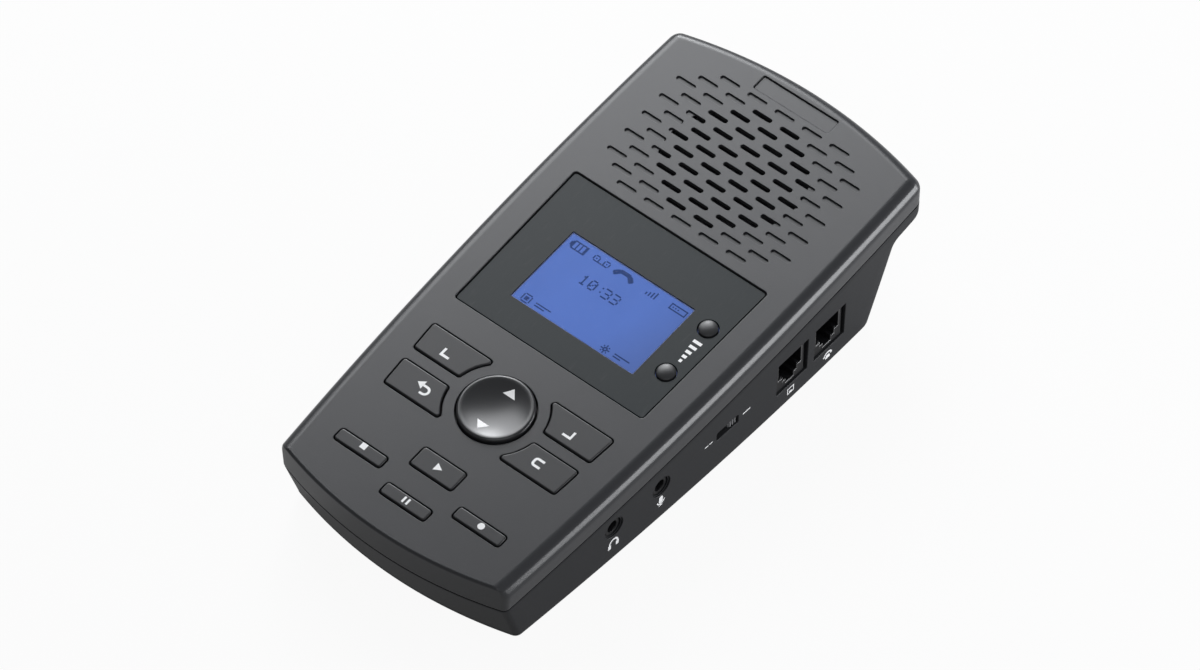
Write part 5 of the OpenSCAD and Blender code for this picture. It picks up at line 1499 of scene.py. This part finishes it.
def rear_sockets(sizes):
    """Build the power and data inlets"""
    form = Form(rear_place(POWER_U, POWER_TIP))
    floor, r = -POWER_NOSE_R - 6.0, POWER_NOSE_R
    form.lathe([
        (POWER_R, floor), (POWER_R, -0.3), (POWER_R + 0.25, 0), (r - 0.3, 0), (r, -0.3),
        (r, -r + 0.2)], 0, POWER_Z)
    form.lathe([(0, floor), (POWER_R + 0.01, floor)], 0, POWER_Z)
    form.box(-4.6, 4.6, BOARD_Z, BOARD_Z + 10.6, -r - 11.0, -r, 0.4)
    form.look = 1
    form.lathe([
        (0, -1.0), (POWER_PIN_R * 0.6, -1.06), (POWER_PIN_R * 0.93, -1.3), (POWER_PIN_R, -1.6),
        (POWER_PIN_R, floor)], 0, POWER_Z, 40)
    form.make("power_inlet", "socket steel", "power_jack")
    form = Form(rear_place(0, DATA_TIP))
    shape = bar_shape(0, BOARD_Z + DATA_H / 2, DATA_W, DATA_H, 0.9)
    form.grown(
        shape, (-0.4, -8.0), (-0.4, -0.1), (-0.28, 0.0), (-0.08, 0.0), (0, -0.1), (0, -9.4))
    form.look = 1
    form.block(0, BOARD_Z + 2.2, 5.2, 1.0, -8.0, -1.0, 0.12)
    form.look = 2
    for k in range(-2, 3):
        form.block(k * 0.9, BOARD_Z + 1.67, 0.4, 0.1, -7.5, -1.3)
    form.make("data_inlet", "steel dark gold", "data_socket")


def memory_card(sizes):
    """Build the memory card"""
    form = Form(base_point)
    x0, x1 = CARD_OUT_X, CARD_OUT_X + CARD_L
    y0, y1 = CARD_Y - CARD_W / 2, CARD_Y + CARD_W / 2
    z0, z1 = CARD_Z, CARD_Z + CARD_T
    r, cut = 0.6, 4.25
    shape = rounded_shape([
        (x0 + r, y0 + r), (x1 - r, y0 + r), (x1 - r, y1 - cut), (x1 - cut, y1 - r),
        (x0 + r, y1 - r)], r)
    form.grown(
        shape, (-0.2, z1), (-0.06, z1 - 0.06), (0, z1 - 0.2), (0, z0 + 0.2), (-0.06, z0 + 0.06),
        (-0.2, z0))
    for k in range(4):
        form.block(x0 + 1.0 + k * 0.75, CARD_Y, 0.32, 14, z1 - 0.05, z1 + 0.06, 0.06, 2)
    form.look = 1
    for k in range(8):
        form.block(x1 - 3.2, y0 + 3.2 + k * 2.4, 4.4, 1.7, z0 - 0.02, z0 + 0.05)
    form.make("card", "card gold", "memory_card", "card_body")


def battery_parts(sizes):
    """Build the lid and the cells"""
    g, top = DOOR_GAP, SHELL_Z + DOOR_T
    form = Form(base_point)
    brim = LEDGE_W - g
    form.grown(
        bay_shape(0.5), (-g - 0.15, top), (-g, top - 0.15), (-g, LEDGE_Z - 0.1),
        (brim, LEDGE_Z - 0.1), (brim, SHELL_Z + 0.25), (brim - 0.07, SHELL_Z + 0.07),
        (brim - 0.25, SHELL_Z))
    for k in range(6):
        form.block(BAY_X, BAY_Y0 + 3.0 + k * 1.5, 18, 0.8, SHELL_Z - 0.25, SHELL_Z + 0.1, 0.22)
    for x in TAB_XS:
        form.box(
            x - TAB_W / 2, x + TAB_W / 2, BAY_Y1 - g - 2, BAY_Y1 + LEDGE_W + TAB_L,
            LEDGE_Z + 0.1, LEDGE_Z + 1.1, 0.2)
    arrow = [(BAY_X - 2.2, BAY_Y0 + 14.0), (BAY_X + 2.2, BAY_Y0 + 14.0), (BAY_X, BAY_Y0 + 17.4)]
    form.plate(arrow, SHELL_Z - 0.15, SHELL_Z + 0.1)
    form.make("battery_lid", "lower", "battery_door", "door_body")
    cells = Form()
    r, end = CELL_D / 2, CELL_L
    for i in range(4):
        x = BAY_X0 + CELL_GAP + r + i * (CELL_D + CELL_GAP)
        s = 1 if i % 2 == 0 else -1
        y0 = DECK_Y + BAY_Y - s * CELL_L / 2
        cells.place = lambda u, v, w, x=x, y0=y0, s=s: (x + s * u, y0 + s * w, CELL_Z + v)
        cells.look = 0
        cells.lathe([
            (r - 1.2, end - 1.0), (r - 0.35, end - 1.1), (r - 0.05, end - 1.4), (r, end - 1.8),
            (r, 1.0), (r - 0.05, 0.5), (r - 0.5, 0.2)], n=48)
        cells.look = 1
        cells.lathe([
            (0, end), (2.3, end), (2.6, end - 0.3), (2.6, end - 1.05),
            (r - 1.15, end - 1.05)], n=40)
        cells.lathe([(r - 0.45, 0.22), (r - 1.5, 0.1), (4.2, 0.0), (0, 0.0)], n=48)
    cells.make("cells", "wrap steel", "battery_cells")


def fasteners(sizes):
    """Build the case screws and the feet"""
    form = Form()
    r, low = HEAD_R, -HEAD_D - 2.2
    for u, v in CASE_SCREWS:
        form.lathe([
            (SCREW_R, -DECK_T - 2), (SCREW_R, -HEAD_D - 0.1), (r, -HEAD_D - 0.1), (r, low + 0.5),
            (r - 0.25, low + 0.15), (r - 0.8, low), (0, low)], u, v, 40)
        # The cross in each head is a thin dark plate in the darker inside finish: painted shade
        # where the cross recess would be.
        form.look = 1
        for w, h in ((3.1, 0.68), (0.68, 3.1)):
            form.block(u, v, w, h, low - 0.02, low + 0.02)
        form.look = 0
    form.make("screws", "screw inside", "case_screws")
    feet = Form(base_point)
    r, top = FOOT_R, SHELL_Z + FOOT_SINK
    for x, y in FEET:
        feet.lathe([
            (0, top), (r, top), (r, 0.45), (r - 0.12, 0.2), (r - 0.42, 0.04), (r - 0.8, 0.0),
            (r - 1.6, 0.0), (r - 1.75, 0.12), (r - 1.95, 0.12), (r - 2.1, 0.0), (0, 0.0)], x, y, 56)
    feet.make("feet", "foot", "rubber_feet")


def wall_mark(form, y0, z0, *loops):
    """Printed signs on the right wall, bent to it; loops run in (back, up) about a place."""
    form.place = lambda u, v, w: (wall_x(y0 + u, z0 + v) + w, y0 + u + DECK_Y, z0 + v)
    for loop in loops:
        form.plate(loop, -0.02, 0.02)


def side_marks(sizes):
    """Print the signs on the right wall"""
    form = Form()
    wall_mark(
        form, EAR_Y, AXIS_Z - 6.6, stroke(arc((0, 0), 1.6, radians(-20), radians(200), 16), 0.62),
        rect(-1.55, -1.05, 1.1, 1.7), rect(1.55, -1.05, 1.1, 1.7))
    wall_mark(
        form, MIC_Y, AXIS_Z - 6.4, bar_shape(0, 0.8, 1.5, 3.0, 0.7)(),
        stroke(arc((0, 0.3), 1.4, pi, 2 * pi, 12), 0.42),
        rect(0, -1.275, 0.34, 0.65), rect(0, -1.75, 1.4, 0.3))
    wall_mark(
        form, PHONE_YS[0], AXIS_Z - 9.4,
        stroke([(-1.3, -1.1), (1.3, -1.1), (1.3, 1.1), (-1.3, 1.1), (-1.3, -1.1)], 0.34),
        rect(0, -0.65, 1.1, 0.7))
    wall_mark(
        form, PHONE_YS[1], AXIS_Z - 9.2,
        stroke(arc((0, -0.9), 1.7, radians(25), radians(155), 12), 0.62),
        rect(-1.55, -0.35, 0.8, 0.8), rect(1.55, -0.35, 0.8, 0.8),
        rounded_shape([(-0.9, -1.6), (0.9, -1.6), (0.5, -0.5), (-0.5, -0.5)], 0.2)())
    wall_mark(
        form, SWITCH_Y, AXIS_Z,
        rect(8.0, 0, 3.2, 0.4), rect(-8.9, 0, 1.4, 0.4), rect(-7.1, 0, 1.4, 0.4))
    form.make("side_marks", "print")


def inner_parts(sizes):
    """Finish the boards, the speaker and the other solids"""
    for look, nodes in NODE_LOOKS.items():
        for node in nodes.split():
            data = frame["nodes"][node].data
            data.materials.clear()
            data.materials.append(LOOKS[look])


# Stage

CAMERA_AT = Vector((883.2549, -1081.3381, 1730.983)) * MM
CAMERA_RIGHT = Vector((0.76885085, 0.63938714, 0.00724242))
CAMERA_UP = Vector((-0.49862891, 0.59242425, 0.63277383))
CAMERA_LENS = 240.0

LAMP_COLOUR, WORLD_LIGHT = (0.96, 0.975, 1.0), 0.17
FLOOR_GREY, FLOOR_GLOW, FLOOR_Z, FLOOR_SIZE = (0.38, 0.38, 0.38), 1.04, -0.02, 8000.0
WHITE_TO_EYE, WHITE_TO_MIRRORS = 0.9, 0.25
# Lamps: name, place, what it is aimed at, width, power, height; metres and watts
LAMPS = [
    ("back_panel", (-0.435, 0.39, 0.475), (0.0, 0.0, 0.036), 0.56, 5.5, 0.56),
    ("right_strip", (0.48, 0.32, 0.085), (0.045, 0.02, 0.04), 0.52, 3.2, 0.17),
    ("rear_glow", (-0.453, 0.508, 0.402), (0.0, -0.044, 0.036), 0.2, 1.7, 0.2),
    ("front_fill", (0.42, -0.5, 0.85), (0.0, 0.0, 0.03), 0.8, 2.2, 0.8),
]


def add_camera():
    data = bpy.data.cameras.new("camera")
    data.sensor_width, data.lens = 36.0, CAMERA_LENS
    camera = bpy.data.objects.new("camera", data)
    turn = Matrix((CAMERA_RIGHT, CAMERA_UP, CAMERA_RIGHT.cross(CAMERA_UP))).transposed()
    camera.matrix_world = Matrix.Translation(CAMERA_AT) @ turn.to_4x4()
    link(camera)
    bpy.context.scene.camera = camera


def add_lamp(name, place, aim, width, power, height):
    data = bpy.data.lights.new(name, "AREA")
    data.shape = "RECTANGLE"
    data.size, data.size_y, data.energy, data.color = width, height, power, LAMP_COLOUR
    lamp = bpy.data.objects.new(name, data)
    lamp.location = place
    lamp.rotation_euler = (Vector(aim) - Vector(place)).to_track_quat("-Z", "Y").to_euler()
    link(lamp)


def paper_white(nodes):
    """Share of plain white in what the eye gets, and in what gloss, metal and glass show."""
    path = nodes.node("ShaderNodeLightPath")
    eye, gloss, glass = (Value(nodes, path.outputs[key]) for key in (
        "Is Camera Ray", "Is Glossy Ray", "Is Transmission Ray"))
    return (eye * WHITE_TO_EYE).larger(gloss.larger(glass) * WHITE_TO_MIRRORS)


def add_world():
    world = bpy.data.worlds.new("studio")
    bpy.context.scene.world = world
    nodes = Nodes(world)
    soft = nodes.value("ShaderNodeBackground", {}, {0: LAMP_COLOUR, 1: WORLD_LIGHT})
    nodes.node("ShaderNodeOutputWorld", {}, {0: soft})


def add_floor():
    material = LOOKS["paper"] = bpy.data.materials.new("floor_paper")
    nodes = Nodes(material)
    paper = nodes.value("ShaderNodeBsdfDiffuse", {}, {0: FLOOR_GREY})
    glow = nodes.value("ShaderNodeEmission", {}, {0: (1, 1, 1), 1: FLOOR_GLOW})
    mixed = nodes.value("ShaderNodeMixShader", {}, {0: paper_white(nodes), 1: paper, 2: glow})
    nodes.node("ShaderNodeOutputMaterial", {}, {0: mixed})
    form = Form(as_is)
    form.cap(form.ring_at(rect(0, 0, FLOOR_SIZE, FLOOR_SIZE), FLOOR_Z))
    floor = bpy.data.objects.new("floor", form.mesh("floor", "paper"))
    link(floor)


class RECORDER_OT_finishes(bpy.types.Operator):
    """Make the materials of every finish"""
    bl_idname = "recorder.finishes"
    bl_label = "Finishes"

    def execute(self, context):
        make_looks(context.scene)
        return {"FINISHED"}


def piece_operator(maker):
    """Operator class for one group of pieces, named and described as its maker."""
    def execute(self, context):
        if not LOOKS:
            raise RuntimeError("make the finishes first")
        maker(context.scene.recorder_sizes)
        return {"FINISHED"}
    name = maker.__name__
    return type("RECORDER_OT_" + name, (bpy.types.Operator,), {
        "__doc__": maker.__doc__, "bl_idname": "recorder." + name,
        "bl_label": name.replace("_", " ").capitalize(), "execute": execute})


PIECE_OPERATORS = [piece_operator(maker) for maker in (
    upper_shell, lower_shell, display, keys, rocker, volume_keys, indicator, phone_sockets,
    plug_sockets, slide_switch, rear_sockets, memory_card, battery_parts, fasteners, side_marks,
    inner_parts)]


class RECORDER_OT_stage(bpy.types.Operator):
    """Add the floor, the light and the camera"""
    bl_idname = "recorder.stage"
    bl_label = "Stage"

    def execute(self, context):
        context.scene.view_settings.view_transform = "Standard"
        add_camera()
        add_world()
        add_floor()
        for lamp in LAMPS:
            add_lamp(*lamp)
        return {"FINISHED"}


class RECORDER_PT_panel(bpy.types.Panel):
    """Lists the steps that dress the recorder"""
    bl_idname = "RECORDER_PT_panel"
    bl_label = "Call recorder"
    bl_space_type = "VIEW_3D"
    bl_region_type = "UI"
    bl_category = "Recorder"

    def draw(self, context):
        scene = context.scene
        for group in (scene.recorder_sizes, scene.recorder_finish):
            box = self.layout.box()
            for name in group.bl_rna.properties.keys():
                if name not in ("rna_type", "name"):
                    box.prop(group, name)
        column = self.layout.column()
        column.operator(RECORDER_OT_finishes.bl_idname)
        for step in PIECE_OPERATORS:
            column.operator(step.bl_idname)
        column.operator(RECORDER_OT_stage.bl_idname)


CLASSES = [
    RecorderSizes, RecorderFinish, RECORDER_OT_finishes, *PIECE_OPERATORS, RECORDER_OT_stage,
    RECORDER_PT_panel]


def register():
    for cls in CLASSES:
        bpy.utils.register_class(cls)
    bpy.types.Scene.recorder_sizes = bpy.props.PointerProperty(type=RecorderSizes)
    bpy.types.Scene.recorder_finish = bpy.props.PointerProperty(type=RecorderFinish)


def unregister():
    del bpy.types.Scene.recorder_finish
    del bpy.types.Scene.recorder_sizes
    for cls in reversed(CLASSES):
        bpy.utils.unregister_class(cls)


def main():
    register()
    bpy.ops.recorder.finishes()
    for step in PIECE_OPERATORS:
        getattr(bpy.ops.recorder, step.bl_idname.split(".")[1])()
    bpy.ops.recorder.stage()


if __name__ == "__main__":
    main()
